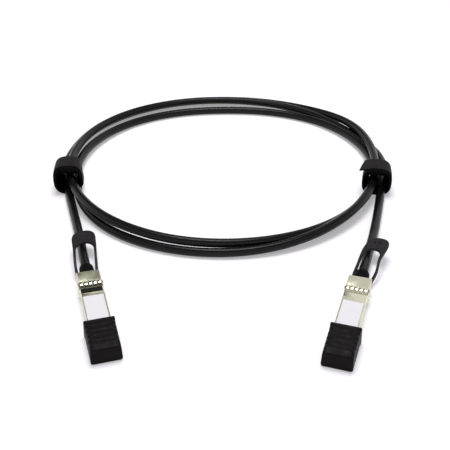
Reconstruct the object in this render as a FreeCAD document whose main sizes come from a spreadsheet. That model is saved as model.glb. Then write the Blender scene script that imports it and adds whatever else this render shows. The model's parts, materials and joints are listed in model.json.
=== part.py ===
"""Direct attach copper cable: two small form-factor plugs on one coiled twin-axial cable.

Row frame: +Z up, +X to the right, +Y away from the plugs' noses, millimetres.
Each plug is drawn in its own frame, nose towards -Y, with y = 0 at the dust cap's front face and
z = 0 on the surface that it lies on, and is then turned and moved to its place by its Placement.
"""
import FreeCAD, Part
import math
import os

import Sketcher

Vector = FreeCAD.Vector
UP = Vector(0, 0, 1)

# ---------------------------------------------------------------- driving dimensions
SIZES = (
    # die-cast shell
    ("shell_width", 13.6, "width of both castings"),
    ("shell_tall", 8.6, "height of the part that enters the cage"),
    ("shell_length", 65.2, "nose to rear face"),
    ("shell_base", 1.2, "underside of the shell above the surface"),
    ("split_above_base", 4.4, "parting plane above the underside, on the cable's axis"),
    ("shell_wall", 0.9, "wall of both castings"),
    ("rear_wall", 2.0, "wall that the cable comes through"),
    ("edge_bevel", 0.5, "bevel on the long edges"),
    ("rail_length", 9.65, "rear block with its two feet"),
    ("rail_inner", 6.6, "gap between the two feet"),
    # dust cap
    ("nose_start", 5.5, "cap's front face to the nose"),
    ("cap_length", 24.0, "length of the dust cap"),
    ("cap_front_width", 17.0, "cap's width at its front"),
    ("cap_rear_width", 17.6, "cap's width at its mouth"),
    ("cap_roof", 1.05, "cap's wall above the shell"),
    ("cap_gap", 0.06, "running clearance between cap and shell"),
    ("cap_slope_run", 3.9, "length of the slope at the cap's front edge"),
    ("cap_slope_drop", 1.2, "fall of that slope"),
    ("cap_round", 1.1, "rounding of the cap's edges"),
    ("rib_pitch", 4.1, "pitch of the grip grooves"),
    ("rib_groove", 0.9, "width of a grip groove"),
    ("rib_deep", 0.35, "depth of a grip groove"),
    ("rib_first", 6.2, "first groove from the cap's front"),
    # paddle card
    ("card_width", 9.2, "width of the circuit board"),
    ("card_thick", 1.0, "thickness of the circuit board"),
    ("card_above_base", 2.25, "board's underside above the shell's underside"),
    ("card_inset", 3.2, "board's edge behind the nose"),
    ("card_length", 26.0, "length of the circuit board"),
    ("card_bevel", 0.3, "bevel on the mating edge"),
    ("pad_pitch", 0.8, "pitch of the edge contacts"),
    ("pad_wide", 0.5, "width of one contact"),
    ("pad_long", 2.6, "length of one contact"),
    ("pad_thick", 0.04, "thickness of one contact"),
    ("pad_inset", 0.5, "contacts behind the board's edge"),
    ("pad_count", 10, "contacts in one row"),
    # tray under the board
    ("cavity_behind_screw", 2.4, "tray's open part behind the screw's axis"),
    ("ledge_wide", 1.9, "width of the ledge that carries the board"),
    ("trough_half", 5.4, "half width of the wire trough"),
    ("trough_floor", 3.2, "trough's floor above the underside"),
    ("pair_thick", 1.15, "foil-wrapped conductor pair"),
    ("pair_width", 2.6, "foil-wrapped conductor pair"),
    ("pair_place", 3.2, "each pair from the middle"),
    ("pair_lap", 3.0, "length of a pair on the board"),
    # screw
    ("screw_behind_card", 3.5, "screw's axis behind the circuit board"),
    ("screw_head_radius", 1.4, "screw head"),
    ("screw_head_tall", 0.45, "screw head's height"),
    ("screw_radius", 0.6, "screw's shank"),
    ("screw_gap", 0.05, "clearance round the screw"),
    ("drive_deep", 0.3, "depth of the screw's drive"),
    ("post_radius", 1.6, "posts that the screw joins"),
    # label
    ("label_ahead_of_collar", 2.6, "label recess ahead of the collar"),
    ("label_length", 24.4, "length of the recess"),
    ("label_width", 11.9, "width of the recess"),
    ("label_recess", 0.22, "depth of the recess"),
    ("label_thick", 0.12, "label's thickness"),
    ("label_gap", 0.15, "label's edge to the recess's edge"),
    # spring collar
    ("collar_ahead_of_rear", 21.2, "collar's front edge ahead of the rear face"),
    ("band_length", 5.0, "collar's closed band"),
    ("finger_length", 6.5, "contact fingers behind the band"),
    ("collar_thick", 0.2, "sheet of the collar"),
    ("collar_seat", 0.22, "groove that the collar lies in"),
    ("finger_bow", 0.75, "fingers' crest above the band"),
    ("finger_gap", 0.5, "slot between two fingers"),
    ("finger_root", 0.5, "overlap of a finger with the band"),
    ("finger_slope", 2.34, "length of a finger's rise and of its fall"),
    ("finger_tip_gap", 0.3, "fingers' tips ahead of the rear block"),
    ("top_fingers", 5, "fingers across the top"),
    ("side_fingers", 3, "fingers on each side"),
    # latch
    ("boss_ahead_of_rear", 20.2, "latch shoulder ahead of the rear face"),
    ("boss_width", 2.6, "latch boss at its shoulder"),
    ("boss_front", 0.4, "latch boss at its front"),
    ("boss_length", 2.3, "latch boss"),
    ("boss_drop", 0.55, "boss below the shell's underside"),
    ("pivot_behind_boss", 5.0, "pivot behind the latch shoulder"),
    ("pivot_above_base", 1.15, "pivot above the underside"),
    ("pin_radius", 0.6, "pivot pin"),
    ("pin_length", 7.4, "pivot pin"),
    ("pin_gap", 0.04, "running clearance on the pin"),
    ("lever_width", 3.8, "latch lever"),
    ("lever_thick", 1.0, "latch lever"),
    ("lever_eye_radius", 1.1, "eye round the pin"),
    ("lever_front", 2.3, "lever's tip ahead of the shoulder"),
    ("tail_length", 3.9, "lever's tail behind the pivot"),
    ("tail_rise", 0.3, "height of the tail's ramp"),
    ("channel_width", 4.8, "slot in the underside"),
    ("channel_deep", 2.9, "depth of that slot"),
    ("channel_ahead", 3.5, "slot ahead of the shoulder"),
    ("leaf_thick", 0.2, "latch spring"),
    ("leaf_width", 3.0, "latch spring"),
    ("leaf_root", 1.0, "spring's fixed end ahead of the pivot"),
    ("leaf_knee", 2.8, "spring's bend ahead of the pivot"),
    ("leaf_tip", 0.6, "spring's free end behind the lever's tip"),
    ("leaf_gap", 0.3, "spring's free end above the lever"),
    # release slider
    ("slide_travel", 2.2, "travel of the pull tab"),
    ("strap_thick", 0.6, "steel strap of the slider"),
    ("strap_width", 4.4, "steel strap of the slider"),
    ("strap_lift", 0.3, "strap above the surface"),
    ("web_behind_tail", 0.6, "slider's web behind the lever's tail"),
    ("tongue_gap", 0.3, "slider's tongue above the tail"),
    ("tongue_length", 2.4, "slider's tongue"),
    ("tongue_thick", 0.45, "slider's tongue"),
    ("bar_behind_shell", 0.4, "cross bar behind the rear face"),
    ("bar_length", 2.2, "cross bar along the plug"),
    ("bar_width", 12.0, "cross bar across the plug"),
    ("ear_thick", 0.5, "upturned ear"),
    ("ear_outer", 11.1, "across both ears"),
    ("ear_tall", 2.4, "height of the ears"),
    ("ear_length", 1.4, "ear along the plug"),
    # pull tab
    ("tab_foot_gap", 0.55, "tab's feet behind the rear face"),
    ("tab_reach", 41.3, "tab's end behind the rear face"),
    ("tab_width", 14.6, "tab across its end plate"),
    ("tab_plate", 13.6, "length of the end plate"),
    ("foot_width", 12.4, "tab across its feet"),
    ("arm_width", 1.6, "one arm"),
    ("foot_tall", 3.1, "height of a foot"),
    ("tab_thick", 2.0, "thickness of the loop"),
    ("tab_heel", 3.0, "feet lie flat this far before the arms rise"),
    ("tab_shoulder", 9.0, "arms reach their full spread this far behind the feet"),
    ("tab_knee", 1.0, "upper bends ahead of the lower ones"),
    ("tab_rise", 19.0, "length over which the arms rise"),
    ("tab_low", 8.3, "underside of the loop after the rise"),
    ("tab_end_lift", 1.8, "further rise of the end plate"),
    ("tab_end_round", 6.4, "corner radius of the end plate"),
    ("tab_window_round", 4.4, "corner radius of the finger window"),
    ("grip_mark_width", 3.6, "moulded mark on the end plate"),
    ("grip_mark_length", 1.1, "moulded mark on the end plate"),
    ("grip_mark_deep", 0.55, "moulded mark on the end plate"),
    ("grip_mark_inset", 5.0, "moulded mark from the tab's end"),
    ("tab_clear", 0.04, "clearance of the tab on the ears"),
    ("left_lean", 2.7, "left tab's flex to its side"),
    ("right_lean", 4.9, "right tab's flex to its side"),
    ("lean_shoulder", 0.2, "share of the flex where the arms reach their full spread"),
    ("lean_waist", 0.6, "share of the flex at the end plate's start"),
    ("lean_mark", 0.87, "share of the flex at the moulded mark"),
    # cable end
    ("cable_radius", 3.0, "cable's jacket"),
    ("bore_gap", 0.05, "clearance of what the cable passes through"),
    ("ferrule_wall", 0.45, "crimp sleeve"),
    ("ferrule_length", 4.6, "crimp sleeve"),
    ("boot_neck_radius", 3.85, "boot in the rear wall"),
    ("boot_radius", 4.3, "boot against the rear face"),
    ("boot_dome", 10.0, "length of the boot's dome"),
    ("boot_dome_bevel", 1.6, "bevel at the dome's end"),
    # places
    ("left_x", -64.3, "left plug"),
    ("left_y", -50.7, "left plug"),
    ("left_turn", 16.0, "left plug, degrees"),
    ("right_x", 55.5, "right plug"),
    ("right_y", -55.8, "right plug"),
    ("right_turn", -17.7, "right plug, degrees"),
    ("coil_x", -2.1, "coil's centre"),
    ("coil_y", 163.2, "coil's centre"),
    # hook-and-loop ties
    ("tie_width", 15.4, "strap along the bundle"),
    ("tie_across", 21.8, "loop across the bundle"),
    ("tie_thick", 1.3, "one layer of strap"),
    ("tie_lap", 2.1, "two layers of strap"),
    ("tie_round", 8.0, "corner radius of the loop"),
    ("tie_tail", 3.0, "free end of the right tie"),
    ("left_tie_tall", 23.3, "left loop"),
    ("left_tie_x", -113.5, "left tie"),
    ("left_tie_y", 130.4, "left tie"),
    ("left_tie_turn", 6.5, "left tie, degrees"),
    ("right_tie_tall", 21.8, "right loop"),
    ("right_tie_x", 105.1, "right tie"),
    ("right_tie_y", 127.7, "right tie"),
    ("right_tie_turn", -10.0, "right tie, degrees"),
)
size = {name: value for name, value, meaning in SIZES}

doc = FreeCAD.newDocument("DirectAttachCable")
sheet = doc.addObject("Spreadsheet::Sheet", "Sizes")
for row, (name, value, meaning) in enumerate(SIZES, start=1):
    sheet.set("A%d" % row, name)
    sheet.set("B%d" % row, str(value))
    sheet.set("C%d" % row, meaning)
    sheet.setAlias("B%d" % row, name)
doc.recompute()

# Lengths along the plug's own Y axis, and heights, that several pieces share.
SHELL_END = "(Sizes.nose_start + Sizes.shell_length)"
HALF_SHELL = "(Sizes.shell_width / 2)"
SHELL_TOP = "(Sizes.shell_base + Sizes.shell_tall)"
SPLIT = "(Sizes.shell_base + Sizes.split_above_base)"
RAIL_START = f"({SHELL_END} - Sizes.rail_length)"
CARD_START = "(Sizes.nose_start + Sizes.card_inset)"
CARD_END = f"({CARD_START} + Sizes.card_length)"
CARD_LOW = "(Sizes.shell_base + Sizes.card_above_base)"
CARD_TOP = f"({CARD_LOW} + Sizes.card_thick)"
TROUGH_LOW = "(Sizes.shell_base + Sizes.trough_floor)"
SCREW_Y = f"({CARD_END} + Sizes.screw_behind_card)"
CAVITY_END = f"({SCREW_Y} + Sizes.cavity_behind_screw)"
FERRULE_END = f"({SHELL_END} - Sizes.rear_wall)"
FERRULE_START = f"({FERRULE_END} - Sizes.ferrule_length)"
FERRULE_RADIUS = "(Sizes.cable_radius + Sizes.bore_gap + Sizes.ferrule_wall)"
COLLAR_START = f"({SHELL_END} - Sizes.collar_ahead_of_rear)"
BAND_END = f"({COLLAR_START} + Sizes.band_length)"
COLLAR_END = f"({BAND_END} + Sizes.finger_length)"
SHOULDER = f"({SHELL_END} - Sizes.boss_ahead_of_rear)"
PIVOT_Y = f"({SHOULDER} + Sizes.pivot_behind_boss)"
PIVOT_Z = "(Sizes.shell_base + Sizes.pivot_above_base)"
LEVER_LOW = f"({PIVOT_Z} - Sizes.lever_thick / 2)"
LEVER_TOP = f"({PIVOT_Z} + Sizes.lever_thick / 2)"
LEVER_TIP = f"({SHOULDER} - Sizes.lever_front)"
TAIL_END = f"({PIVOT_Y} + Sizes.tail_length)"
CHANNEL_START = f"({SHOULDER} - Sizes.channel_ahead)"
CHANNEL_ROOF = "(Sizes.shell_base + Sizes.channel_deep)"
WEB_START = f"({TAIL_END} + Sizes.web_behind_tail)"
WEB_END = f"({WEB_START} + Sizes.strap_thick)"
CHANNEL_END = f"({WEB_END} + Sizes.slide_travel + Sizes.web_behind_tail)"
TONGUE_LOW = f"({LEVER_TOP} + Sizes.tail_rise + Sizes.tongue_gap)"
TONGUE_TOP = f"({TONGUE_LOW} + Sizes.tongue_thick)"
STRAP_TOP = "(Sizes.strap_lift + Sizes.strap_thick)"
BAR_START = f"({SHELL_END} + Sizes.bar_behind_shell)"
BAR_END = f"({BAR_START} + Sizes.bar_length)"
EAR_START = f"({BAR_START} + (Sizes.bar_length - Sizes.ear_length) / 2)"
EAR_END = f"({EAR_START} + Sizes.ear_length)"
EAR_INNER = "(Sizes.ear_outer / 2 - Sizes.ear_thick)"
CAP_TOP = f"({SHELL_TOP} + Sizes.cap_roof)"
RECESS_LOW = f"({SHELL_TOP} - Sizes.label_recess)"
LABEL_Y = f"({COLLAR_START} - Sizes.label_ahead_of_collar - Sizes.label_length)"

EXTRA = "1"  # overshoot of a cutting sketch past the face that it opens


# ---------------------------------------------------------------- drawing helpers
def new_body(label):
    """A PartDesign body whose label is its node name."""
    body = doc.addObject("PartDesign::Body", label)
    body.Label = label
    return body


def origin_plane(body, role):
    """The body's own XY, XZ or YZ plane."""
    return next(item for item in body.Origin.OriginFeatures if item.Role == role + "_Plane")


def new_sketch(body, name, role, place):
    """A sketch on a plane of the body, moved along the plane's positive axis by place."""
    sketch = body.newObject("Sketcher::SketchObject", body.Name + "_" + name + "_sketch")
    sketch.AttachmentSupport = (origin_plane(body, role), [""])
    sketch.MapMode = "FlatFace"
    side = "-" if role == "XZ" else ""  # the XZ plane looks along -Y
    sketch.setExpression("AttachmentOffset.Base.z", f"{side}({place}) * 1 mm")
    return sketch


def bind_point(sketch, geometry, end, x, y):
    """Ties one point of a sketch to two expressions measured from the sketch's origin."""
    for kind, expression in (("DistanceX", x), ("DistanceY", y)):
        index = sketch.addConstraint(Sketcher.Constraint(kind, -1, 1, geometry, end, 1.0))
        sketch.setExpression("Constraints[%d]" % index, expression)


def draw_outline(sketch, corners):
    """A closed outline of straight sides, every corner tied to its own expressions."""
    count = len(corners)
    first = sketch.GeometryCount
    spread = [math.tau * index / count for index in range(count)]
    start = [Vector(10 * math.cos(angle), 10 * math.sin(angle), 0) for angle in spread]
    for index in range(count):
        sketch.addGeometry(Part.LineSegment(start[index], start[(index + 1) % count]), False)
    for index in range(count):
        following = first + (index + 1) % count
        sketch.addConstraint(Sketcher.Constraint("Coincident", first + index, 2, following, 1))
    for index, (x, y) in enumerate(corners):
        bind_point(sketch, first + index, 1, x, y)


def draw_circle(sketch, x, y, radius):
    """A circle whose centre and radius are tied to expressions."""
    index = sketch.addGeometry(Part.Circle(Vector(0, 0, 0), UP, 1.0), False)
    bind_point(sketch, index, 3, x, y)
    limit = sketch.addConstraint(Sketcher.Constraint("Radius", index, 1.0))
    sketch.setExpression("Constraints[%d]" % limit, radius)


def draw(sketch, outlines):
    """Draws outlines; one of three strings is a circle, any other a list of corners."""
    for outline in outlines:
        if isinstance(outline, tuple):
            draw_circle(sketch, *outline)
        else:
            draw_outline(sketch, outline)


def box(x_low, x_high, y_low, y_high):
    """The four corners of an upright rectangle."""
    return [(x_low, y_low), (x_high, y_low), (x_high, y_high), (x_low, y_high)]


def across(half, y_low, y_high):
    """A rectangle centred across the plug."""
    return box(f"-({half})", half, y_low, y_high)


def prism(body, kind, name, role, place, length, outlines):
    """A pad or a pocket that fills place to place + length along the plane's positive axis."""
    sketch = new_sketch(body, name, role, place)
    draw(sketch, outlines)
    feature = body.newObject("PartDesign::" + kind, body.Name + "_" + name)
    feature.Profile = sketch
    feature.setExpression("Length", f"({length}) * 1 mm")
    feature.Reversed = (role == "XZ") == (kind == "Pad")
    doc.recompute()
    return feature


def pad(body, name, role, place, length, outlines):
    return prism(body, "Pad", name, role, place, length, outlines)


def pocket(body, name, role, place, length, outlines):
    return prism(body, "Pocket", name, role, place, length, outlines)


def linear_pattern(body, feature, name, axis, pitch, count):
    """Repeats one feature along an axis of the body at a pitch."""
    pattern = body.newObject("PartDesign::LinearPattern", body.Name + "_" + name)
    pattern.Originals = [feature]
    line = next(item for item in body.Origin.OriginFeatures if item.Role == axis + "_Axis")
    pattern.Direction = (line, [""])
    pattern.Mode = "Spacing"
    pattern.setExpression("Offset", f"({pitch}) * 1 mm")
    pattern.setExpression("Occurrences", count)
    body.Tip = pattern
    doc.recompute()
    return pattern


def edges_where(feature, test):
    """Names of the edges of a feature that pass a test of their two ends."""
    names = []
    for number, edge in enumerate(feature.Shape.Edges, start=1):
        ends = [vertex.Point for vertex in edge.Vertexes]
        if len(ends) == 2 and test(*ends):
            names.append("Edge%d" % number)
    return names


def soften(body, kind, name, feature, test, radius):
    """A fillet or a chamfer on the edges of a feature that pass the test."""
    dressed = body.newObject("PartDesign::" + kind, body.Name + "_" + name)
    dressed.Base = (feature, edges_where(feature, test))
    bound = "Radius" if kind == "Fillet" else "Size"
    dressed.setExpression(bound, f"({radius}) * 1 mm")
    doc.recompute()
    return dressed


def near(a, b):
    return abs(a - b) < 1e-4


# ---------------------------------------------------------------- pieces of one plug
def top_housing(label):
    """Lid of the shell: walls, open nose, label recess, collar seat, screw post, cable notch."""
    body = new_body(label)
    tall = f"({SHELL_TOP} - {SPLIT})"
    block = pad(body, "block", "XY", SPLIT, tall,
                [across(HALF_SHELL, "Sizes.nose_start", SHELL_END)])
    top = size["shell_base"] + size["shell_tall"]
    half = size["shell_width"] / 2

    def long_top_edge(a, b):
        return near(a.z, top) and near(b.z, top) and near(abs(a.x), half) and near(a.x, b.x)

    soften(body, "Chamfer", "bevel", block, long_top_edge, "Sizes.edge_bevel")
    pocket(body, "cavity", "XY", SPLIT, f"({tall} - Sizes.shell_wall)",
           [across(f"{HALF_SHELL} - Sizes.shell_wall", f"Sizes.nose_start - {EXTRA}",
                   FERRULE_START)])
    pad(body, "post", "XY", SPLIT, f"({tall} - Sizes.shell_wall / 2)",
        [("0", SCREW_Y, "Sizes.post_radius")])
    pocket(body, "thread", "XY", SPLIT, f"({tall} - Sizes.shell_wall)",
           [("0", SCREW_Y, "Sizes.screw_radius + Sizes.screw_gap")])
    pocket(body, "ferrule_seat", "XZ", FERRULE_START, "Sizes.ferrule_length",
           [("0", SPLIT, f"{FERRULE_RADIUS} + Sizes.bore_gap")])
    pocket(body, "notch", "XZ", FERRULE_END, f"Sizes.rear_wall + {EXTRA}",
           [("0", SPLIT, "Sizes.boot_neck_radius + Sizes.bore_gap")])
    pocket(body, "label_recess", "XY", RECESS_LOW, f"Sizes.label_recess + {EXTRA}",
           [across("Sizes.label_width / 2", LABEL_Y, f"{LABEL_Y} + Sizes.label_length")])
    seat = "Sizes.collar_seat"
    pocket(body, "collar_seat", "XZ", COLLAR_START, f"{COLLAR_END} - {COLLAR_START}",
           [seat_outline(HALF_SHELL, SPLIT, SHELL_TOP, seat, "1")])
    return body


def seat_outline(half, low, high, deep, way):
    """Outline of a three-sided groove round a housing half; way is 1 for the lid, -1 for the tray."""
    far = f"({half} + {EXTRA})"
    inner = f"({half} - {deep})"
    crown = f"({high} - {way} * {deep})"
    outside = f"({high} + {way} * {EXTRA})"
    start = f"({low} - {way} * {EXTRA})"
    return [(f"-{far}", start), (f"-{inner}", start), (f"-{inner}", crown), (inner, crown),
            (inner, start), (far, start), (far, outside), (f"-{far}", outside)]


def bottom_housing(label):
    """Tray of the shell: nose, ledges for the board, wire trough, latch slot, rear feet."""
    body = new_body(label)
    tall = f"({SPLIT} - Sizes.shell_base)"
    block = pad(body, "block", "XY", "Sizes.shell_base", tall,
                [across(HALF_SHELL, "Sizes.nose_start", SHELL_END)])
    base = size["shell_base"]
    half = size["shell_width"] / 2

    def long_bottom_edge(a, b):
        return near(a.z, base) and near(b.z, base) and near(abs(a.x), half) and near(a.x, b.x)

    soften(body, "Chamfer", "bevel", block, long_bottom_edge, "Sizes.edge_bevel")
    for side, sign in (("left", "-1"), ("right", "1")):
        rail = [(f"{sign} * Sizes.rail_inner / 2", RAIL_START), (f"{sign} * {HALF_SHELL}", RAIL_START),
                (f"{sign} * {HALF_SHELL}", SHELL_END), (f"{sign} * Sizes.rail_inner / 2", SHELL_END)]
        pad(body, side + "_foot", "XY", "0", "Sizes.shell_base + Sizes.edge_bevel", [rail])
    floor = "(Sizes.shell_base + Sizes.shell_wall)"
    inner = f"({HALF_SHELL} - Sizes.shell_wall)"
    pocket(body, "cavity", "XY", floor, f"{SPLIT} - {floor} + {EXTRA}",
           [across(inner, f"Sizes.nose_start - {EXTRA}", CAVITY_END)])
    for side, sign in (("left", "-1"), ("right", "1")):
        ledge = [(f"{sign} * ({inner} - Sizes.ledge_wide)", f"{CARD_START} + Sizes.card_length / 2"),
                 (f"{sign} * {HALF_SHELL}", f"{CARD_START} + Sizes.card_length / 2"),
                 (f"{sign} * {HALF_SHELL}", CARD_END), (f"{sign} * ({inner} - Sizes.ledge_wide)", CARD_END)]
        pad(body, side + "_ledge", "XY", "Sizes.shell_base + Sizes.edge_bevel",
            f"{CARD_LOW} - Sizes.shell_base - Sizes.edge_bevel", [ledge])
    pad(body, "post", "XY", floor, f"{SPLIT} - {floor}", [("0", SCREW_Y, "Sizes.post_radius")])
    pocket(body, "screw_hole", "XY", f"Sizes.shell_base - {EXTRA}", f"{tall} + 2 * {EXTRA}",
           [("0", SCREW_Y, "Sizes.screw_radius + Sizes.screw_gap")])
    pocket(body, "screw_seat", "XY", f"Sizes.shell_base - {EXTRA}",
           f"Sizes.screw_head_tall + {EXTRA}", [("0", SCREW_Y, "Sizes.screw_head_radius + Sizes.screw_gap")])
    pocket(body, "trough", "XY", TROUGH_LOW, f"{SPLIT} - {TROUGH_LOW} + {EXTRA}",
           [across("Sizes.trough_half", f"{CAVITY_END} - {EXTRA}", FERRULE_START)])
    pocket(body, "ferrule_seat", "XZ", FERRULE_START, "Sizes.ferrule_length",
           [("0", SPLIT, f"{FERRULE_RADIUS} + Sizes.bore_gap")])
    pocket(body, "notch", "XZ", FERRULE_END, f"Sizes.rear_wall + {EXTRA}",
           [("0", SPLIT, "Sizes.boot_neck_radius + Sizes.bore_gap")])
    pocket(body, "latch_slot", "XY", f"Sizes.shell_base - {EXTRA}", f"Sizes.channel_deep + {EXTRA}",
           [across("Sizes.channel_width / 2", CHANNEL_START, CHANNEL_END)])
    pocket(body, "pin_hole", "YZ", "-Sizes.pin_length / 2", "Sizes.pin_length",
           [(PIVOT_Y, PIVOT_Z, "Sizes.pin_radius")])
    pocket(body, "collar_seat", "XZ", COLLAR_START, f"{COLLAR_END} - {COLLAR_START}",
           [seat_outline(HALF_SHELL, SPLIT, "Sizes.shell_base", "Sizes.collar_seat", "-1")])
    return body


def emi_collar(label):
    """Stamped spring collar: a closed band with rows of bowed fingers pointing rearwards."""
    body = new_body(label)
    seat = "Sizes.collar_seat"
    thick = "Sizes.collar_thick"
    half_in = f"({HALF_SHELL} - {seat})"
    top_in = f"({SHELL_TOP} - {seat})"
    low_in = f"(Sizes.shell_base + {seat})"
    lip = "(Sizes.channel_width / 2 + Sizes.collar_thick)"
    half_out = f"({half_in} + {thick})"
    top_out = f"({top_in} + {thick})"
    low_out = f"({low_in} - {thick})"
    band = [(f"-{lip}", low_out), (f"-{half_out}", low_out), (f"-{half_out}", top_out),
            (half_out, top_out), (half_out, low_out), (lip, low_out), (lip, low_in),
            (half_in, low_in), (half_in, top_in), (f"-{half_in}", top_in),
            (f"-{half_in}", low_in), (f"-{lip}", low_in)]
    pad(body, "band", "XZ", COLLAR_START, "Sizes.band_length", [band])
    # one finger on the top, repeated across it
    pitch = f"({half_in} * 2 / Sizes.top_fingers)"
    finger = pad(body, "top_finger", "YZ", f"-{half_in} + Sizes.finger_gap / 2",
                 f"{pitch} - Sizes.finger_gap", [bowed_strip(top_in, "1")])
    linear_pattern(body, finger, "top_row", "X", pitch, "Sizes.top_fingers")
    # one finger on each side, repeated up it
    rise = f"(({top_in} - {low_in}) / Sizes.side_fingers)"
    for side, sign in (("left", "-1"), ("right", "1")):
        strip = [(x, y) for y, x in bowed_strip(f"({sign} * {half_in})", sign)]
        finger = pad(body, side + "_finger", "XY", f"{low_in} + Sizes.finger_gap / 2",
                     f"{rise} - Sizes.finger_gap", [strip])
        linear_pattern(body, finger, side + "_row", "Z", rise, "Sizes.side_fingers")
    return body


def bowed_strip(face, way):
    """Side view of one finger: out from the band, over a flat crest and back under the block."""
    start = f"({BAND_END} - Sizes.finger_root)"
    tip = f"({COLLAR_END} - Sizes.finger_tip_gap)"
    crest = f"({face} + {way} * Sizes.finger_bow)"
    inside = [(start, face), (BAND_END, face), (f"{BAND_END} + Sizes.finger_slope", crest),
              (f"{tip} - Sizes.finger_slope", crest), (tip, face)]
    outside = [(y, f"{height} + {way} * Sizes.collar_thick") for y, height in inside]
    return inside + outside[::-1]


def paddle_card(label):
    """Circuit board with a bevelled mating edge."""
    body = new_body(label)
    board = pad(body, "board", "XY", CARD_LOW, "Sizes.card_thick",
                [across("Sizes.card_width / 2", CARD_START, CARD_END)])
    edge = size["nose_start"] + size["card_inset"]
    soften(body, "Chamfer", "edge_bevel", board,
           lambda a, b: near(a.y, edge) and near(b.y, edge) and near(a.z, b.z), "Sizes.card_bevel")
    return body


def contact_pads(label):
    """Two rows of gilt contacts, above and below the board's mating edge."""
    boxes = []
    for row, low in (("top", CARD_TOP), ("low", f"({CARD_LOW} - Sizes.pad_thick)")):
        for number in range(size["pad_count"]):
            contact = doc.addObject("Part::Box", "%s_%s_%d" % (label, row, number))
            contact.setExpression("Length", "Sizes.pad_wide * 1 mm")
            contact.setExpression("Width", "Sizes.pad_long * 1 mm")
            contact.setExpression("Height", "Sizes.pad_thick * 1 mm")
            middle = f"({number} - (Sizes.pad_count - 1) / 2) * Sizes.pad_pitch"
            contact.setExpression("Placement.Base.x", f"({middle} - Sizes.pad_wide / 2) * 1 mm")
            contact.setExpression("Placement.Base.y",
                                  f"({CARD_START} + Sizes.card_bevel + Sizes.pad_inset) * 1 mm")
            contact.setExpression("Placement.Base.z", f"{low} * 1 mm")
            boxes.append(contact)
    return group(label, boxes)


def wire_pairs(label):
    """Two foil-wrapped conductor pairs from the crimp sleeve to the top of the board."""
    body = new_body(label)
    outlines = []
    for sign in ("-1", "1"):
        middle = f"{sign} * Sizes.pair_place"
        outlines.append(box(f"{middle} - Sizes.pair_width / 2", f"{middle} + Sizes.pair_width / 2",
                            CARD_TOP, f"{CARD_TOP} + Sizes.pair_thick"))
    start = f"({CARD_END} - Sizes.pair_lap)"
    pairs = pad(body, "pairs", "XZ", start, f"{FERRULE_START} - {start}", outlines)
    soften(body, "Fillet", "round", pairs,
           lambda a, b: near(a.x, b.x) and near(a.z, b.z), "Sizes.pair_thick * 0.45")
    return body


def group(label, members):
    """Several separate solids that make one node."""
    compound = doc.addObject("Part::Compound", label)
    compound.Label = label
    compound.Links = members
    return compound


def crimp_ferrule(label):
    """Metal sleeve that clamps the braid in the rear of the shell."""
    body = new_body(label)
    pad(body, "sleeve", "XZ", FERRULE_START, "Sizes.ferrule_length",
        [("0", SPLIT, FERRULE_RADIUS), ("0", SPLIT, "Sizes.cable_radius + Sizes.bore_gap")])
    return body


def cable_boot(label):
    """Moulded strain relief: neck in the rear wall and a bevelled dome behind it."""
    body = new_body(label)
    bore = ("0", SPLIT, "Sizes.cable_radius + Sizes.bore_gap")
    dome = pad(body, "dome", "XZ", SHELL_END, "Sizes.boot_dome", [("0", SPLIT, "Sizes.boot_radius")])
    far = size["nose_start"] + size["shell_length"] + size["boot_dome"]
    rim = [name for name in circle_edges(dome) if near(circle_edges(dome)[name].y, far)]
    bevel = body.newObject("PartDesign::Chamfer", body.Name + "_bevel")
    bevel.Base = (dome, rim)
    bevel.setExpression("Size", "Sizes.boot_dome_bevel * 1 mm")
    doc.recompute()
    pad(body, "neck", "XZ", FERRULE_END, "Sizes.rear_wall", [("0", SPLIT, "Sizes.boot_neck_radius")])
    pocket(body, "bore", "XZ", f"{FERRULE_END} - {EXTRA}",
           f"Sizes.rear_wall + Sizes.boot_dome + 2 * {EXTRA}", [bore])
    return body


def circle_edges(feature):
    """Round edges of a feature by name, each with its centre."""
    found = {}
    for number, edge in enumerate(feature.Shape.Edges, start=1):
        if isinstance(edge.Curve, Part.Circle):
            found["Edge%d" % number] = edge.Curve.Center
    return found


def latch_lever(label):
    """Rocker with the locking boss at its front, an eye on the pin and a ramped tail."""
    body = new_body(label)
    half = "(Sizes.lever_width / 2)"
    pad(body, "bar", "XY", LEVER_LOW, "Sizes.lever_thick", [across(half, LEVER_TIP, TAIL_END)])
    pad(body, "eye", "YZ", f"-{half}", "Sizes.lever_width", [(PIVOT_Y, PIVOT_Z, "Sizes.lever_eye_radius")])
    ramp = [(f"{PIVOT_Y} + Sizes.lever_eye_radius", LEVER_TOP), (TAIL_END, LEVER_TOP),
            (TAIL_END, f"{LEVER_TOP} + Sizes.tail_rise")]
    pad(body, "ramp", "YZ", f"-{half}", "Sizes.lever_width", [ramp])
    front = f"{SHOULDER} - Sizes.boss_length"
    boss = [("-Sizes.boss_width / 2", SHOULDER), ("Sizes.boss_width / 2", SHOULDER),
            ("Sizes.boss_front / 2", front), ("-Sizes.boss_front / 2", front)]
    pad(body, "boss", "XY", "Sizes.shell_base - Sizes.boss_drop",
        f"{LEVER_LOW} - Sizes.shell_base + Sizes.boss_drop", [boss])
    pocket(body, "pin_bore", "YZ", f"-{half} - {EXTRA}", f"Sizes.lever_width + 2 * {EXTRA}",
           [(PIVOT_Y, PIVOT_Z, "Sizes.pin_radius + Sizes.pin_gap")])
    return body


def latch_pin(label):
    """Pin that the lever rocks on, pressed into both sides of the slot."""
    body = new_body(label)
    pad(body, "pin", "YZ", "-Sizes.pin_length / 2", "Sizes.pin_length",
        [(PIVOT_Y, PIVOT_Z, "Sizes.pin_radius")])
    return body


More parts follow.
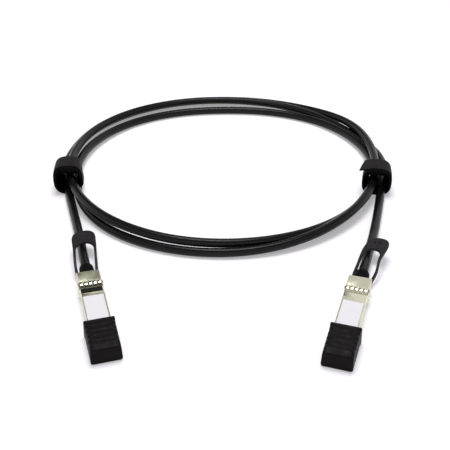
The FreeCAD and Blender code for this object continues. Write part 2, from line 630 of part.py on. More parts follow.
def latch_spring(label):
    """Leaf spring fixed to the slot's roof that holds the boss down."""
    body = new_body(label)
    thick = "Sizes.leaf_thick"
    root = f"({PIVOT_Y} - Sizes.leaf_root)"
    knee = f"({PIVOT_Y} - Sizes.leaf_knee)"
    tip = f"({LEVER_TIP} + Sizes.leaf_tip)"
    above = f"({LEVER_TOP} + Sizes.leaf_gap)"
    leaf = [(root, CHANNEL_ROOF), (knee, CHANNEL_ROOF), (tip, f"{above} + {thick}"), (tip, above),
            (knee, f"{CHANNEL_ROOF} - {thick}"), (root, f"{CHANNEL_ROOF} - {thick}")]
    pad(body, "leaf", "YZ", "-Sizes.leaf_width / 2", "Sizes.leaf_width", [leaf])
    return body


def release_slider(label):
    """Steel strap under the shell: tongue over the lever's tail, cross bar with two ears."""
    body = new_body(label)
    half = "(Sizes.strap_width / 2)"
    pad(body, "strap", "XY", "Sizes.strap_lift", "Sizes.strap_thick", [across(half, WEB_START, BAR_END)])
    pad(body, "bar", "XY", "Sizes.strap_lift", "Sizes.strap_thick",
        [across("Sizes.bar_width / 2", BAR_START, BAR_END)])
    pad(body, "web", "XY", "Sizes.strap_lift", f"{TONGUE_TOP} - Sizes.strap_lift",
        [across("Sizes.lever_width / 2", WEB_START, WEB_END)])
    pad(body, "tongue", "XY", TONGUE_LOW, "Sizes.tongue_thick",
        [across("Sizes.lever_width / 2", f"{WEB_START} - Sizes.tongue_length", WEB_END)])
    for side, sign in (("left", "-1"), ("right", "1")):
        ear = box(f"{sign} * {EAR_INNER}", f"{sign} * Sizes.ear_outer / 2", EAR_START, EAR_END)
        pad(body, side + "_ear", "XY", "Sizes.strap_lift", "Sizes.strap_thick + Sizes.ear_tall", [ear])
    return body


def pull_tab(label, lean):
    """Flexible loop: side view padded across, then trimmed to its plan; lean flexes its far end."""
    body = new_body(label)
    foot = f"({SHELL_END} + Sizes.tab_foot_gap)"
    heel = f"({foot} + Sizes.tab_heel)"
    crest = f"({foot} + Sizes.tab_rise)"
    shoulder = f"({foot} + Sizes.tab_shoulder)"
    end = f"({SHELL_END} + Sizes.tab_reach)"
    waist = f"({end} - Sizes.tab_plate)"
    foot_top = f"({STRAP_TOP} + Sizes.foot_tall)"
    end_low = "(Sizes.tab_low + Sizes.tab_end_lift)"
    end_top = f"({end_low} + Sizes.tab_thick)"
    side_view = [(foot, STRAP_TOP), (heel, STRAP_TOP), (crest, "Sizes.tab_low"), (end, end_low),
                 (end, end_top), (f"{crest} - Sizes.tab_knee", "Sizes.tab_low + Sizes.tab_thick"),
                 (f"{heel} - Sizes.tab_knee", foot_top), (foot, foot_top)]
    wide = "(Sizes.tab_width + Sizes.right_lean)"
    strip = pad(body, "strip", "YZ", f"-{wide}", f"2 * {wide}", [side_view])
    heel_y = size["nose_start"] + size["shell_length"] + size["tab_foot_gap"] + size["tab_heel"]
    crest_y = heel_y - size["tab_heel"] + size["tab_rise"]
    knee = size["tab_knee"]
    bends = (heel_y, heel_y - knee, crest_y, crest_y - knee)
    soften(body, "Fillet", "bends", strip,
           lambda a, b: near(a.y, b.y) and near(a.z, b.z) and any(near(a.y, y) for y in bends),
           "Sizes.tab_thick * 0.75")

    foot_half = "Sizes.foot_width / 2"
    tab_half = "Sizes.tab_width / 2"
    stops = [(foot_half, "0", heel), (tab_half, "Sizes.lean_shoulder", shoulder),
             (tab_half, "Sizes.lean_waist", waist)]

    def plan(inset, first, last):
        """Outline seen from above, drawn in by inset; the lean grows towards the far end."""
        route = [(foot_half, "0", first)] + stops + last
        right = [(f"({half} - {inset}) + {lean} * {share}", y) for half, share, y in route]
        left = [(f"-({half} - {inset}) + {lean} * {share}", y) for half, share, y in route]
        return right + left[::-1]

    around = box(f"-{wide} - {EXTRA}", f"{wide} + {EXTRA}", f"{foot} - {EXTRA}", f"{end} + {EXTRA}")
    outer = plan("0", f"{foot} - {EXTRA} / 2", [(tab_half, "1", f"{end} + {EXTRA} / 2")])
    pocket(body, "plan", "XY", f"-{EXTRA}", f"{end_top} + 2 * {EXTRA}", [around, outer])
    opened = pocket(body, "window", "XY", f"-{EXTRA}", f"{end_top} + 2 * {EXTRA}",
                    [plan("Sizes.arm_width", f"{foot} - {EXTRA}", [])])
    end_y = size["nose_start"] + size["shell_length"] + size["tab_reach"]
    waist_y = end_y - size["tab_plate"]
    inner_half = size["tab_width"] / 2 - size["arm_width"]

    def upright(a, b):
        return near(a.x, b.x) and near(a.y, b.y) and not near(a.z, b.z)

    ended = soften(body, "Fillet", "end_round", opened,
                   lambda a, b: upright(a, b) and near(a.y, end_y), "Sizes.tab_end_round")
    shift = size[lean.split(".")[1]] * size["lean_waist"]
    soften(body, "Fillet", "window_round", ended,
           lambda a, b: upright(a, b) and near(a.y, waist_y) and near(abs(a.x - shift), inner_half),
           "Sizes.tab_window_round")
    gap = "Sizes.tab_clear"
    for side, sign in (("left", "-1"), ("right", "1")):
        slot = box(f"{sign} * ({EAR_INNER} - {gap})", f"{sign} * (Sizes.ear_outer / 2 + {gap})",
                   f"{EAR_START} - {gap}", f"{EAR_END} + {gap}")
        pocket(body, side + "_slot", "XY", f"-{EXTRA}",
               f"{STRAP_TOP} + Sizes.ear_tall + {gap} + {EXTRA}", [slot])
    mark_middle = f"{lean} * Sizes.lean_mark"
    mark = box(f"{mark_middle} - Sizes.grip_mark_width / 2", f"{mark_middle} + Sizes.grip_mark_width / 2",
               f"{end} - Sizes.grip_mark_inset - Sizes.grip_mark_length", f"{end} - Sizes.grip_mark_inset")
    pocket(body, "grip_mark", "XY", f"{end_top} - Sizes.grip_mark_deep", EXTRA, [mark])
    return body


def housing_screw(label):
    """Small flat-headed screw that joins the tray to the lid, with a square drive."""
    body = new_body(label)
    pad(body, "head", "XY", "Sizes.shell_base", "Sizes.screw_head_tall",
        [("0", SCREW_Y, "Sizes.screw_head_radius")])
    pad(body, "shank", "XY", "Sizes.shell_base", f"{SHELL_TOP} - Sizes.shell_wall * 2 - Sizes.shell_base",
        [("0", SCREW_Y, "Sizes.screw_radius")])
    half = "Sizes.screw_radius * 0.8"
    pocket(body, "drive", "XY", f"Sizes.shell_base - {EXTRA}", f"{EXTRA} + Sizes.drive_deep",
           [across(half, f"{SCREW_Y} - {half}", f"{SCREW_Y} + {half}")])
    return body


def label_sheet(label):
    """Paper label in its recess."""
    body = new_body(label)
    pad(body, "sheet", "XY", RECESS_LOW, "Sizes.label_thick",
        [across("Sizes.label_width / 2 - Sizes.label_gap", f"{LABEL_Y} + Sizes.label_gap",
                f"{LABEL_Y} + Sizes.label_length - Sizes.label_gap")])
    return body


def dust_cap(label):
    """Rubber cap over the nose: tapered, sloped at its front edge, with grip grooves."""
    body = new_body(label)
    front = "(Sizes.cap_front_width / 2)"
    rear = "(Sizes.cap_rear_width / 2)"
    outline = [(f"-{front}", "0"), (front, "0"), (rear, "Sizes.cap_length"), (f"-{rear}", "Sizes.cap_length")]
    block = pad(body, "block", "XY", "0", CAP_TOP, [outline])
    cap_top = size["shell_base"] + size["shell_tall"] + size["cap_roof"]

    def rounded_edge(a, b):
        upright_front = near(a.y, 0) and near(b.y, 0) and not near(a.z, b.z)
        long_top = near(a.z, cap_top) and near(b.z, cap_top) and not near(a.y, b.y)
        return upright_front or long_top

    soften(body, "Fillet", "round", block, rounded_edge, "Sizes.cap_round")
    slope = [(f"-{EXTRA}", f"{CAP_TOP} - Sizes.cap_slope_drop * (1 + {EXTRA} / Sizes.cap_slope_run)"),
             ("Sizes.cap_slope_run", CAP_TOP), ("Sizes.cap_slope_run", f"{CAP_TOP} + {EXTRA}"),
             (f"-{EXTRA}", f"{CAP_TOP} + {EXTRA}")]
    pocket(body, "slope", "YZ", f"-{rear} - {EXTRA}", f"2 * {rear} + 2 * {EXTRA}", [slope])
    gap = "Sizes.cap_gap"
    pocket(body, "hollow", "XZ", f"Sizes.nose_start - {gap}",
           f"Sizes.cap_length - Sizes.nose_start + {EXTRA}",
           [across(f"{HALF_SHELL} + {gap}", f"Sizes.shell_base - {gap}", f"{SHELL_TOP} + {gap}")])
    widening = "((Sizes.cap_rear_width - Sizes.cap_front_width) / 2 / Sizes.cap_length)"
    top_cuts = []
    side_cuts = []
    for number in range(4):
        start = f"(Sizes.rib_first + {number} * Sizes.rib_pitch)"
        stop = f"({start} + Sizes.rib_groove)"
        half = f"({front} + {widening} * {start})"
        top_cuts.append(box(start, stop, f"{CAP_TOP} - Sizes.rib_deep", f"{CAP_TOP} + {EXTRA}"))
        for sign in ("-1", "1"):
            side_cuts.append(box(f"{sign} * ({half} - Sizes.rib_deep)", f"{sign} * ({half} + {EXTRA})",
                                 start, stop))
    pocket(body, "top_grooves", "YZ", f"-{rear} - {EXTRA}", f"2 * {rear} + 2 * {EXTRA}", top_cuts)
    pocket(body, "side_grooves", "XY", "Sizes.cap_round", f"{CAP_TOP}", side_cuts)
    return body


def place_in_row(piece, side):
    """Turns a plug's piece and moves it to its side of the row."""
    piece.Placement = FreeCAD.Placement(Vector(), FreeCAD.Rotation(UP, 1))
    piece.setExpression("Placement.Rotation.Angle", f"Sizes.{side}_turn * 1 deg")
    piece.setExpression("Placement.Base.x", f"Sizes.{side}_x * 1 mm")
    piece.setExpression("Placement.Base.y", f"Sizes.{side}_y * 1 mm")
    return piece


def plug(side):
    """All the pieces of one plug, at their place in the row."""
    pieces = [
        top_housing(side + "_top_housing"),
        bottom_housing(side + "_bottom_housing"),
        emi_collar(side + "_emi_collar"),
        paddle_card(side + "_paddle_card"),
        contact_pads(side + "_contact_pads"),
        wire_pairs(side + "_wire_pairs"),
        crimp_ferrule(side + "_crimp_ferrule"),
        cable_boot(side + "_cable_boot"),
        pull_tab(side + "_pull_tab", f"Sizes.{side}_lean"),
        release_slider(side + "_release_slider"),
        latch_spring(side + "_latch_spring"),
        latch_lever(side + "_latch_lever"),
        latch_pin(side + "_latch_pin"),
        housing_screw(side + "_housing_screw"),
        label_sheet(side + "_label"),
        dust_cap(side + "_dust_cap"),
    ]
    return [place_in_row(piece, side) for piece in pieces]


# ---------------------------------------------------------------- the cable
def on_plug_axis(side, along):
    """A point on a plug's cable axis, given by its distance behind the cap's front face."""
    turn = math.radians(size[side + "_turn"])
    height = size["shell_base"] + size["split_above_base"]
    axis = Vector(-math.sin(turn), math.cos(turn), 0)
    return Vector(size[side + "_x"], size[side + "_y"], height) + axis * along


# Each lead's route on the surface after it leaves the plug's axis, chosen by hand.
LEAD_ROUTES = {
    "left": ((-98.3, 71.2, 3.2), (-107.4, 105.7, 3.2), (-113.3, 129.7, 5.0), (-116.9, 145.7, 5.2)),
    "right": ((95.0, 69.2, 3.2), (103.5, 103.7, 3.2), (109.3, 130.2, 5.3), (112.6, 146.2, 5.4)),
}
BEHIND_BOOT = 9.6  # straight length of cable behind the boot


def rounded_path(points):
    """Straight runs joined by tangent arcs, each as large as its two runs allow."""
    edges = []
    radii = []
    start = points[0]
    for before, corner, after in zip(points, points[1:], points[2:]):
        into = (corner - before).normalize()
        out = (after - corner).normalize()
        turn = into.getAngle(out)
        reach = 0.45 * min((corner - before).Length, (after - corner).Length)
        radius = reach / math.tan(turn / 2)
        radii.append(radius)
        enter = corner - into * reach
        leave = corner + out * reach
        inward = (out - into).normalize()
        middle = corner + inward * (radius / math.cos(turn / 2) - radius)
        edges.append(Part.LineSegment(start, enter).toShape())
        edges.append(Part.Arc(enter, middle, leave).toShape())
        start = leave
    edges.append(Part.LineSegment(start, points[-1]).toShape())
    return Part.Wire(edges), radii


TUBE_SIDES = 16


def tube_section(centre, direction):
    """Many-sided section of the cable, square to its direction."""
    turned = FreeCAD.Rotation(UP, direction)
    corners = []
    for number in range(TUBE_SIDES):
        around = math.tau * number / TUBE_SIDES
        corner = Vector(math.cos(around), math.sin(around), 0) * size["cable_radius"]
        corners.append(centre + turned.multVec(corner))
    return Part.makePolygon(corners + corners[:1])


def cable_lead(side):
    """Plain tube from the crimp sleeve to the coil."""
    crimp = size["nose_start"] + size["shell_length"] - size["rear_wall"] - size["ferrule_length"]
    boot_end = size["nose_start"] + size["shell_length"] + size["boot_dome"]
    points = [on_plug_axis(side, crimp), on_plug_axis(side, boot_end + BEHIND_BOOT)]
    points += [Vector(*point) for point in LEAD_ROUTES[side]]
    path, radii = rounded_path(points)
    ring = tube_section(points[0], points[1] - points[0])
    lead = doc.addObject("Part::Feature", "cable_lead_" + side)
    lead.Label = "cable_lead_" + side
    lead.Shape = path.makePipeShell([ring], True, False)
    expected = Part.Face(ring).Area * path.Length
    print(lead.Label, "radii", [round(radius) for radius in radii],
          "length %.1f" % path.Length, "volume ratio %.4f" % (lead.Shape.Volume / expected))
    return lead


# The coiled cable's centre line, station by station every eighth of a turn, clockwise from the
# left tie: its radius and its height above the surface.
COIL_STATIONS = (
    (117.5, 5.2), (120.2, 3.2), (116.1, 3.0), (122.5, 3.0), (108.5, 10.3), (114.5, 8.2), (117.6, 3.0),
    (118.5, 4.4), (110.0, 5.6), (101.5, 3.2), (94.4, 3.0), (101.5, 3.2), (110.5, 5.8), (110.8, 4.4),
    (112.3, 7.6), (117.6, 9.0), (113.5, 9.9), (115.4, 6.2), (110.3, 5.6), (113.0, 4.6), (116.8, 5.4),
)
STATIONS_PER_TURN = 8
COIL_SECTIONS = 30


def between(before, here, after, beyond, part):
    """Smooth value a given part of the way from here to after (Catmull-Rom)."""
    slope_here = (after - before) / 2
    slope_after = (beyond - here) / 2
    rise = after - here
    bend = 3 * rise - 2 * slope_here - slope_after
    twist = slope_here + slope_after - 2 * rise
    return here + part * (slope_here + part * (bend + part * twist))


def coil_strand(turns):
    """Radius and height of the cable's centre line after a number of turns."""
    last = len(COIL_STATIONS) - 1
    place = turns * STATIONS_PER_TURN
    first = min(int(place), last - 1)
    four = [COIL_STATIONS[min(max(first + step, 0), last)] for step in (-1, 0, 1, 2)]
    return [between(*values, place - first) for values in zip(*four)]


def coil_section(turn):
    """Bevelled box round the strands that pass a given part of a full turn after the left tie."""
    total = (len(COIL_STATIONS) - 1) / STATIONS_PER_TURN
    strands = [coil_strand(turn + lap) for lap in range(3) if turn + lap <= total]
    reach = size["cable_radius"]
    inner = min(radius for radius, height in strands) - reach
    outer = max(radius for radius, height in strands) + reach
    low = max(min(height for radius, height in strands) - reach, 0)
    high = max(height for radius, height in strands) + reach
    angle = math.pi - math.tau * turn
    outward = Vector(math.cos(angle), math.sin(angle), 0)
    centre = Vector(size["coil_x"], size["coil_y"], 0)
    bevel = reach / 2
    corners = []
    for radius, height in ((inner, low + bevel), (inner + bevel, low), (outer - bevel, low),
                           (outer, low + bevel), (outer, high - bevel), (outer - bevel, high),
                           (inner + bevel, high), (inner, high - bevel)):
        corners.append(centre + outward * radius + UP * height)
    return Part.makePolygon(corners + corners[:1])


def cable_coil():
    """One closed ring of the bundle's outer shape, lofted through its sections."""
    sections = [coil_section(number / COIL_SECTIONS) for number in range(COIL_SECTIONS)]
    coil = doc.addObject("Part::Feature", "cable_coil")
    coil.Label = "cable_coil"
    coil.Shape = Part.makeLoft(sections, True, True, True)
    return coil


def cable_tie(side):
    """Hook-and-loop strap wrapped loosely round the bundle; the right one's free end stands off."""
    body = new_body("cable_tie_" + side)
    half = "(Sizes.tie_across / 2)"
    tall = f"Sizes.{side}_tie_tall"
    along = "Sizes.tie_width"
    half_width = size["tie_across"] / 2
    pad(body, "loop", "XZ", f"-{along} / 2", along, [across(half, "0", tall)])
    hollow = pocket(body, "hollow", "XZ", f"-{along} / 2 - {EXTRA}", f"{along} + 2 * {EXTRA}",
                    [across(f"{half} - Sizes.tie_lap", "Sizes.tie_thick", f"{tall} - Sizes.tie_lap")])

    def corners_at(reach):
        return lambda a, b: near(abs(a.x), reach) and near(a.x, b.x) and near(a.z, b.z)

    inside = soften(body, "Fillet", "round_inside", hollow, corners_at(half_width - size["tie_lap"]),
                    "Sizes.tie_round - Sizes.tie_lap")
    soften(body, "Fillet", "round_outside", inside, corners_at(half_width), "Sizes.tie_round")
    if side == "right":
        flap = box(f"-{half} - Sizes.tie_tail", "0", f"{tall} - Sizes.tie_thick", tall)
        pad(body, "tail", "XZ", f"-{along} / 2", along, [flap])
    body.Placement = FreeCAD.Placement(Vector(), FreeCAD.Rotation(UP, 1))
    body.setExpression("Placement.Rotation.Angle", f"Sizes.{side}_tie_turn * 1 deg")
    body.setExpression("Placement.Base.x", f"Sizes.{side}_tie_x * 1 mm")
    body.setExpression("Placement.Base.y", f"Sizes.{side}_tie_y * 1 mm")
    return body


# ---------------------------------------------------------------- build, check and write
pieces = plug("left") + plug("right")
pieces += [cable_lead("left"), cable_lead("right"), cable_coil()]
pieces += [cable_tie("left"), cable_tie("right")]
doc.recompute()

for item in doc.Objects:
    if "Invalid" in item.State or "Error" in item.State:
        raise RuntimeError("%s failed: %s" % (item.Name, item.State))
for piece in pieces:
    if piece.Shape.isNull() or not piece.Shape.isValid():
        raise RuntimeError("%s has no valid shape" % piece.Label)

os.makedirs("parts", exist_ok=True)
for piece in pieces:
    piece.Shape.exportStep(os.path.join("parts", piece.Label + ".step"))
    print("%-24s solids %d volume %.2f" % (piece.Label, len(piece.Shape.Solids), piece.Shape.Volume))
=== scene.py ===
"""Direct attach copper cable, dressed: two plugs on one coiled cable with hook-and-loop ties."""

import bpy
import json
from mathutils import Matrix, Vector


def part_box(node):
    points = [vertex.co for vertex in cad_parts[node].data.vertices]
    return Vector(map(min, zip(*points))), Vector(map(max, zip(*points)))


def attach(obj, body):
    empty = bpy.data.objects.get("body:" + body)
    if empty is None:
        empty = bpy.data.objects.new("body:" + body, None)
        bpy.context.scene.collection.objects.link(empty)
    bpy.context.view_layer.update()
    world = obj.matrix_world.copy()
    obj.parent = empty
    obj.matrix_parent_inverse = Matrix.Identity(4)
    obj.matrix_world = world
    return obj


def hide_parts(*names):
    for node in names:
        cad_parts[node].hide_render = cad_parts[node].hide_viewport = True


bl_info = {
    "name": "Direct attach cable",
    "version": (1, 0, 0),
    "blender": (4, 5, 0),
    "location": "3D View > Sidebar > Cable",
    "description": "Coiled network cable with two metal plugs, pull tabs, dust caps and two ties",
    "category": "Object",
}

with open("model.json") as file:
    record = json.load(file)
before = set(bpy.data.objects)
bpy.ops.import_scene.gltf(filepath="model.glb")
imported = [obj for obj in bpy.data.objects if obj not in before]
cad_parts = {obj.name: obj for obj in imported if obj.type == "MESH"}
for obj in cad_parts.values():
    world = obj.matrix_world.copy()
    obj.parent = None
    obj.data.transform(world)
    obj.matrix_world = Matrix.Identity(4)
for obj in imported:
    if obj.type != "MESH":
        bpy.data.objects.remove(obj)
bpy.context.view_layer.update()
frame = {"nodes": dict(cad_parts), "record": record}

import json
import math

import bmesh
import bpy
import numpy as np
from bpy.props import FloatProperty, FloatVectorProperty, IntProperty, PointerProperty
from mathutils import Vector

MM = 0.001
SIDES = ("left", "right")
ROOT = next(name for name, nodes in frame["record"]["behaviour"]["bodies"].items()
            if "cable_coil" in nodes)


# ---------------------------------------------------------------- settings a user may change
class StageSettings(bpy.types.PropertyGroup):
    """Camera, floor and lights."""
    camera_height: FloatProperty(
        name="Camera height", description="Camera above the floor", default=0.28426, unit="LENGTH")
    camera_back: FloatProperty(
        name="Camera distance", description="Camera ahead of the plugs", default=0.35737,
        unit="LENGTH")
    camera_aside: FloatProperty(
        name="Camera offset", description="Camera to the left", default=0.00242, unit="LENGTH")
    camera_fall: FloatProperty(
        name="Camera fall", description="Camera below the horizon", default=math.radians(32.87),
        subtype="ANGLE")
    focal_length: FloatProperty(
        name="Focal length", description="Focal length of the lens in mm", default=62.69)
    floor_colour: FloatVectorProperty(
        name="Floor", description="Colour of the floor", subtype="COLOR", size=3,
        default=(0.86, 0.86, 0.88))
    floor_glow: FloatProperty(
        name="Floor glow", description="Share of white that the camera sees on the floor",
        default=0.3, min=0.0, max=1.0)
    sky_strength: FloatProperty(
        name="Sky", description="Strength of the even light", default=0.45, min=0.0)
    sky_colour: FloatVectorProperty(
        name="Sky tint", description="Colour of the even light", subtype="COLOR", size=3,
        default=(0.98, 0.92, 1.0))
    key_power: FloatProperty(
        name="Key", description="Power of the lamp above and behind", default=7.5, unit="POWER")


class CableSettings(bpy.types.PropertyGroup):
    """The cable and its ties."""
    diameter: FloatProperty(
        name="Diameter", description="Outside diameter of the jacket", default=0.006,
        unit="LENGTH")
    jacket: FloatVectorProperty(
        name="Jacket", description="Colour of the jacket", subtype="COLOR", size=3,
        default=(0.0045, 0.0045, 0.0055))
    strap_thick: FloatProperty(
        name="Strap thickness", description="Thickness of the tie's strap", default=0.001,
        unit="LENGTH")
    strap_wide: FloatProperty(
        name="Strap width", description="Width of the tie's strap", default=0.0154,
        unit="LENGTH")
    strap: FloatVectorProperty(
        name="Strap", description="Colour of the strap's loop side", subtype="COLOR", size=3,
        default=(0.0165, 0.0140, 0.0150))
    hooks: FloatVectorProperty(
        name="Hooks", description="Colour of the strap's hook side", subtype="COLOR", size=3,
        default=(0.002, 0.002, 0.0025))


class PlugSettings(bpy.types.PropertyGroup):
    """The two plugs."""
    casting: FloatVectorProperty(
        name="Casting", description="Colour of the nickel-plated shells", subtype="COLOR",
        size=3, default=(0.74, 0.72, 0.56))
    sheet_metal: FloatVectorProperty(
        name="Collar", description="Colour of the spring collar", subtype="COLOR", size=3,
        default=(0.76, 0.74, 0.58))
    tab: FloatVectorProperty(
        name="Pull tab", description="Colour of the pull tab", subtype="COLOR", size=3,
        default=(0.019, 0.0165, 0.019))
    cap: FloatVectorProperty(
        name="Dust cap", description="Colour of the dust cap", subtype="COLOR", size=3,
        default=(0.0050, 0.0034, 0.0040))
    boot: FloatVectorProperty(
        name="Boot", description="Colour of the strain relief", subtype="COLOR", size=3,
        default=(0.0022, 0.0018, 0.0024))
    paper: FloatVectorProperty(
        name="Label", description="Colour of the label", subtype="COLOR", size=3,
        default=(0.90, 0.91, 0.92))
    fingers: IntProperty(
        name="Fingers", description="Contact fingers across the top of the collar", default=5,
        min=1, max=12)
    bow: FloatProperty(
        name="Bow", description="Height of the fingers' crest", default=0.00075, unit="LENGTH")


class CableModelSettings(bpy.types.PropertyGroup):
    """Everything that a user would change."""
    stage: PointerProperty(type=StageSettings)
    cable: PointerProperty(type=CableSettings)
    plug: PointerProperty(type=PlugSettings)


# ---------------------------------------------------------------- places
# Distances along a plug's own axis, measured in mm from the front face of its dust cap.
PIVOT = 55.5
CRIMP = 64.1
REAR = 70.7
BEHIND_BOOT = 90.3
AXIS_HEIGHT = 5.6
HALF_SHELL = 6.8
SHELL_TOP = 9.8
SHELL_BASE = 1.2
COLLAR_FRONT = 49.5
BAND_END = 54.5
FINGER_TIP = 60.7
COLLAR_INSET = 0.22
COLLAR_SHEET = 0.2
SIDE_FINGERS = 3


def plug_axes(side):
    """Origin below the cap's front face and the two level axes of a plug, from its latch pivot."""
    joint = next(item for item in frame["record"]["behaviour"]["joints"]
                 if item["name"] == side + "_latch_pivot")
    across = -np.array(joint["axis"], dtype=float)
    along = np.array((-across[1], across[0], 0.0))
    origin = np.array(joint["pos_m"], dtype=float) - along * PIVOT * MM
    origin[2] = 0.0
    return origin, across, along


def in_row(side, points):
    """Moves points from a plug's own frame in mm to the row's frame in metres: origin plus x
    times across, y times along and z times up."""
    origin, across, along = plug_axes(side)
    points = np.asarray(points, dtype=float) * MM
    up = np.array((0.0, 0.0, 1.0))
    return origin + points[..., :1] * across + points[..., 1:2] * along + points[..., 2:] * up


# ---------------------------------------------------------------- mesh helpers
def grid_faces(rows, columns, wrap_rows=False, wrap_columns=True):
    """Quads of a grid of points laid out row by row; either direction may close on itself."""
    row = np.arange(rows if wrap_rows else rows - 1)
    column = np.arange(columns if wrap_columns else columns - 1)
    row, column = (item.ravel() for item in np.meshgrid(row, column, indexing="ij"))
    next_row, next_column = (row + 1) % rows, (column + 1) % columns
    return np.stack((row * columns + column, row * columns + next_column,
                     next_row * columns + next_column, next_row * columns + column), axis=1)


def make_object(name, points, faces, body, finish, smooth_angle=35):
    """An object at the origin whose mesh holds the points, with its normals turned outwards."""
    mesh = bpy.data.meshes.new(name)
    mesh.from_pydata(np.asarray(points).reshape(-1, 3), [], [list(face) for face in faces])
    tidy = bmesh.new()
    tidy.from_mesh(mesh)
    bmesh.ops.remove_doubles(tidy, verts=tidy.verts, dist=1e-7)
    bmesh.ops.recalc_face_normals(tidy, faces=tidy.faces)
    tidy.to_mesh(mesh)
    tidy.free()
    mesh.shade_smooth()
    mesh.set_sharp_from_angle(angle=math.radians(smooth_angle))
    return add_object(name, mesh, body, finish)


def add_object(name, data, body, finish):
    """Links an object, gives it its finish and its material slot, and lets it ride on a body."""
    item = bpy.data.objects.new(name, data)
    bpy.context.scene.collection.objects.link(item)
    data.materials.append(finish)
    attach(item, body)
    return item


def loft(sections):
    """Closed skin through rows of section points, its two ends filled with one face each."""
    rows, columns = sections.shape[:2]
    faces = [tuple(face) for face in grid_faces(rows, columns)]
    faces.append(tuple(range(columns)))
    faces.append(tuple(range((rows - 1) * columns, rows * columns)))
    return faces


def rounded_boxes(half, low, high, upper, lower):
    """Sections in x and z, one per row: rounded rectangles from -half to half and from low to
    high. Each corner is a quarter circle of that row's upper or lower radius."""
    half, low, high, upper, lower = (np.asarray(item, dtype=float)[:, None]
                                     for item in (half, low, high, upper, lower))
    turn = np.linspace(0, math.pi / 2, 7)
    parts = []
    for quarter, (x_sign, z_side) in enumerate(((1, 1), (-1, 1), (-1, 0), (1, 0))):
        angle = (turn + quarter * math.pi / 2)[None, :]
        radius = upper if z_side else lower
        z_centre = high - radius if z_side else low + radius
        parts.append(np.stack((x_sign * (half - radius) + radius * np.cos(angle),
                               z_centre + radius * np.sin(angle)), axis=-1))
    return np.concatenate(parts, axis=1)


def refined(node, body, finish, width):
    """A copy of a rigid solid with its triangles merged to flat faces and its edges rounded."""
    source = frame["nodes"][node]
    mesh = source.data.copy()
    mesh.name = node + "_fine"
    mesh.materials.clear()
    tidy = bmesh.new()
    tidy.from_mesh(mesh)
    bmesh.ops.remove_doubles(tidy, verts=tidy.verts, dist=1e-6)
    bmesh.ops.dissolve_limit(tidy, angle_limit=math.radians(1.0), verts=tidy.verts,
                             edges=tidy.edges)
    tidy.to_mesh(mesh)
    tidy.free()
    mesh.shade_smooth()
    mesh.set_sharp_from_angle(angle=math.radians(32))
    item = add_object(node + "_fine", mesh, body, finish)
    bevel = item.modifiers.new("Rounded edges", "BEVEL")
    bevel.width = width * MM
    bevel.segments = 2
    bevel.limit_method = "ANGLE"
    bevel.angle_limit = math.radians(32)
    bevel.harden_normals = True
    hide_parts(node)
    return item


# ---------------------------------------------------------------- materials
def new_group(name, inputs, outputs):
    """A shader node group with named sockets, and its input and output nodes."""
    group = bpy.data.node_groups.new(name, "ShaderNodeTree")
    for label, default in inputs:
        socket = group.interface.new_socket(label, in_out="INPUT", socket_type="NodeSocketFloat")
        socket.default_value = default
    for label, kind in outputs:
        group.interface.new_socket(label, in_out="OUTPUT", socket_type=kind)
    return group, group.nodes.new("NodeGroupInput"), group.nodes.new("NodeGroupOutput")


def join(tree, source, target):
    tree.links.new(source, target)


def preset(node, values):
    """Gives a node's named inputs their values."""
    for label, value in values.items():
        node.inputs[label].default_value = value


def maths(tree, operation, first, second=None):
    """A Math node whose operands are sockets or numbers; returns its result."""
    node = tree.nodes.new("ShaderNodeMath")
    node.operation = operation
    for index, value in enumerate((first, second)):
        if value is None:
            continue
        if isinstance(value, (int, float)):
            node.inputs[index].default_value = value
        else:
            join(tree, value, node.inputs[index])
    return node.outputs[0]


def grain_group():
    """Fine pits and wide smudges on Object coordinates: height, and a mask that darkens."""
    group, given, result = new_group(
        "Moulded grain", [("Fineness", 1.0), ("Smudge size", 1.0)],
        [("Height", "NodeSocketFloat"), ("Smudge", "NodeSocketFloat")])
    where = group.nodes.new("ShaderNodeTexCoord").outputs["Object"]
    pits = group.nodes.new("ShaderNodeTexNoise")
    pits.inputs["Detail"].default_value = 3.0
    join(group, maths(group, "MULTIPLY", given.outputs["Fineness"], 2600.0),
         pits.inputs["Scale"])
    join(group, where, pits.inputs["Vector"])
    smudge = group.nodes.new("ShaderNodeTexNoise")
    smudge.inputs["Detail"].default_value = 4.0
    join(group, maths(group, "DIVIDE", 160.0, given.outputs["Smudge size"]),
         smudge.inputs["Scale"])
    join(group, where, smudge.inputs["Vector"])
    join(group, pits.outputs["Fac"], result.inputs["Height"])
    join(group, smudge.outputs["Fac"], result.inputs["Smudge"])
    return group


def shared_group(maker):
    """Builds a node group once and finds it again."""
    name = maker.__name__
    if name not in GROUPS:
        GROUPS[name] = maker()
    return GROUPS[name]


GROUPS = {}


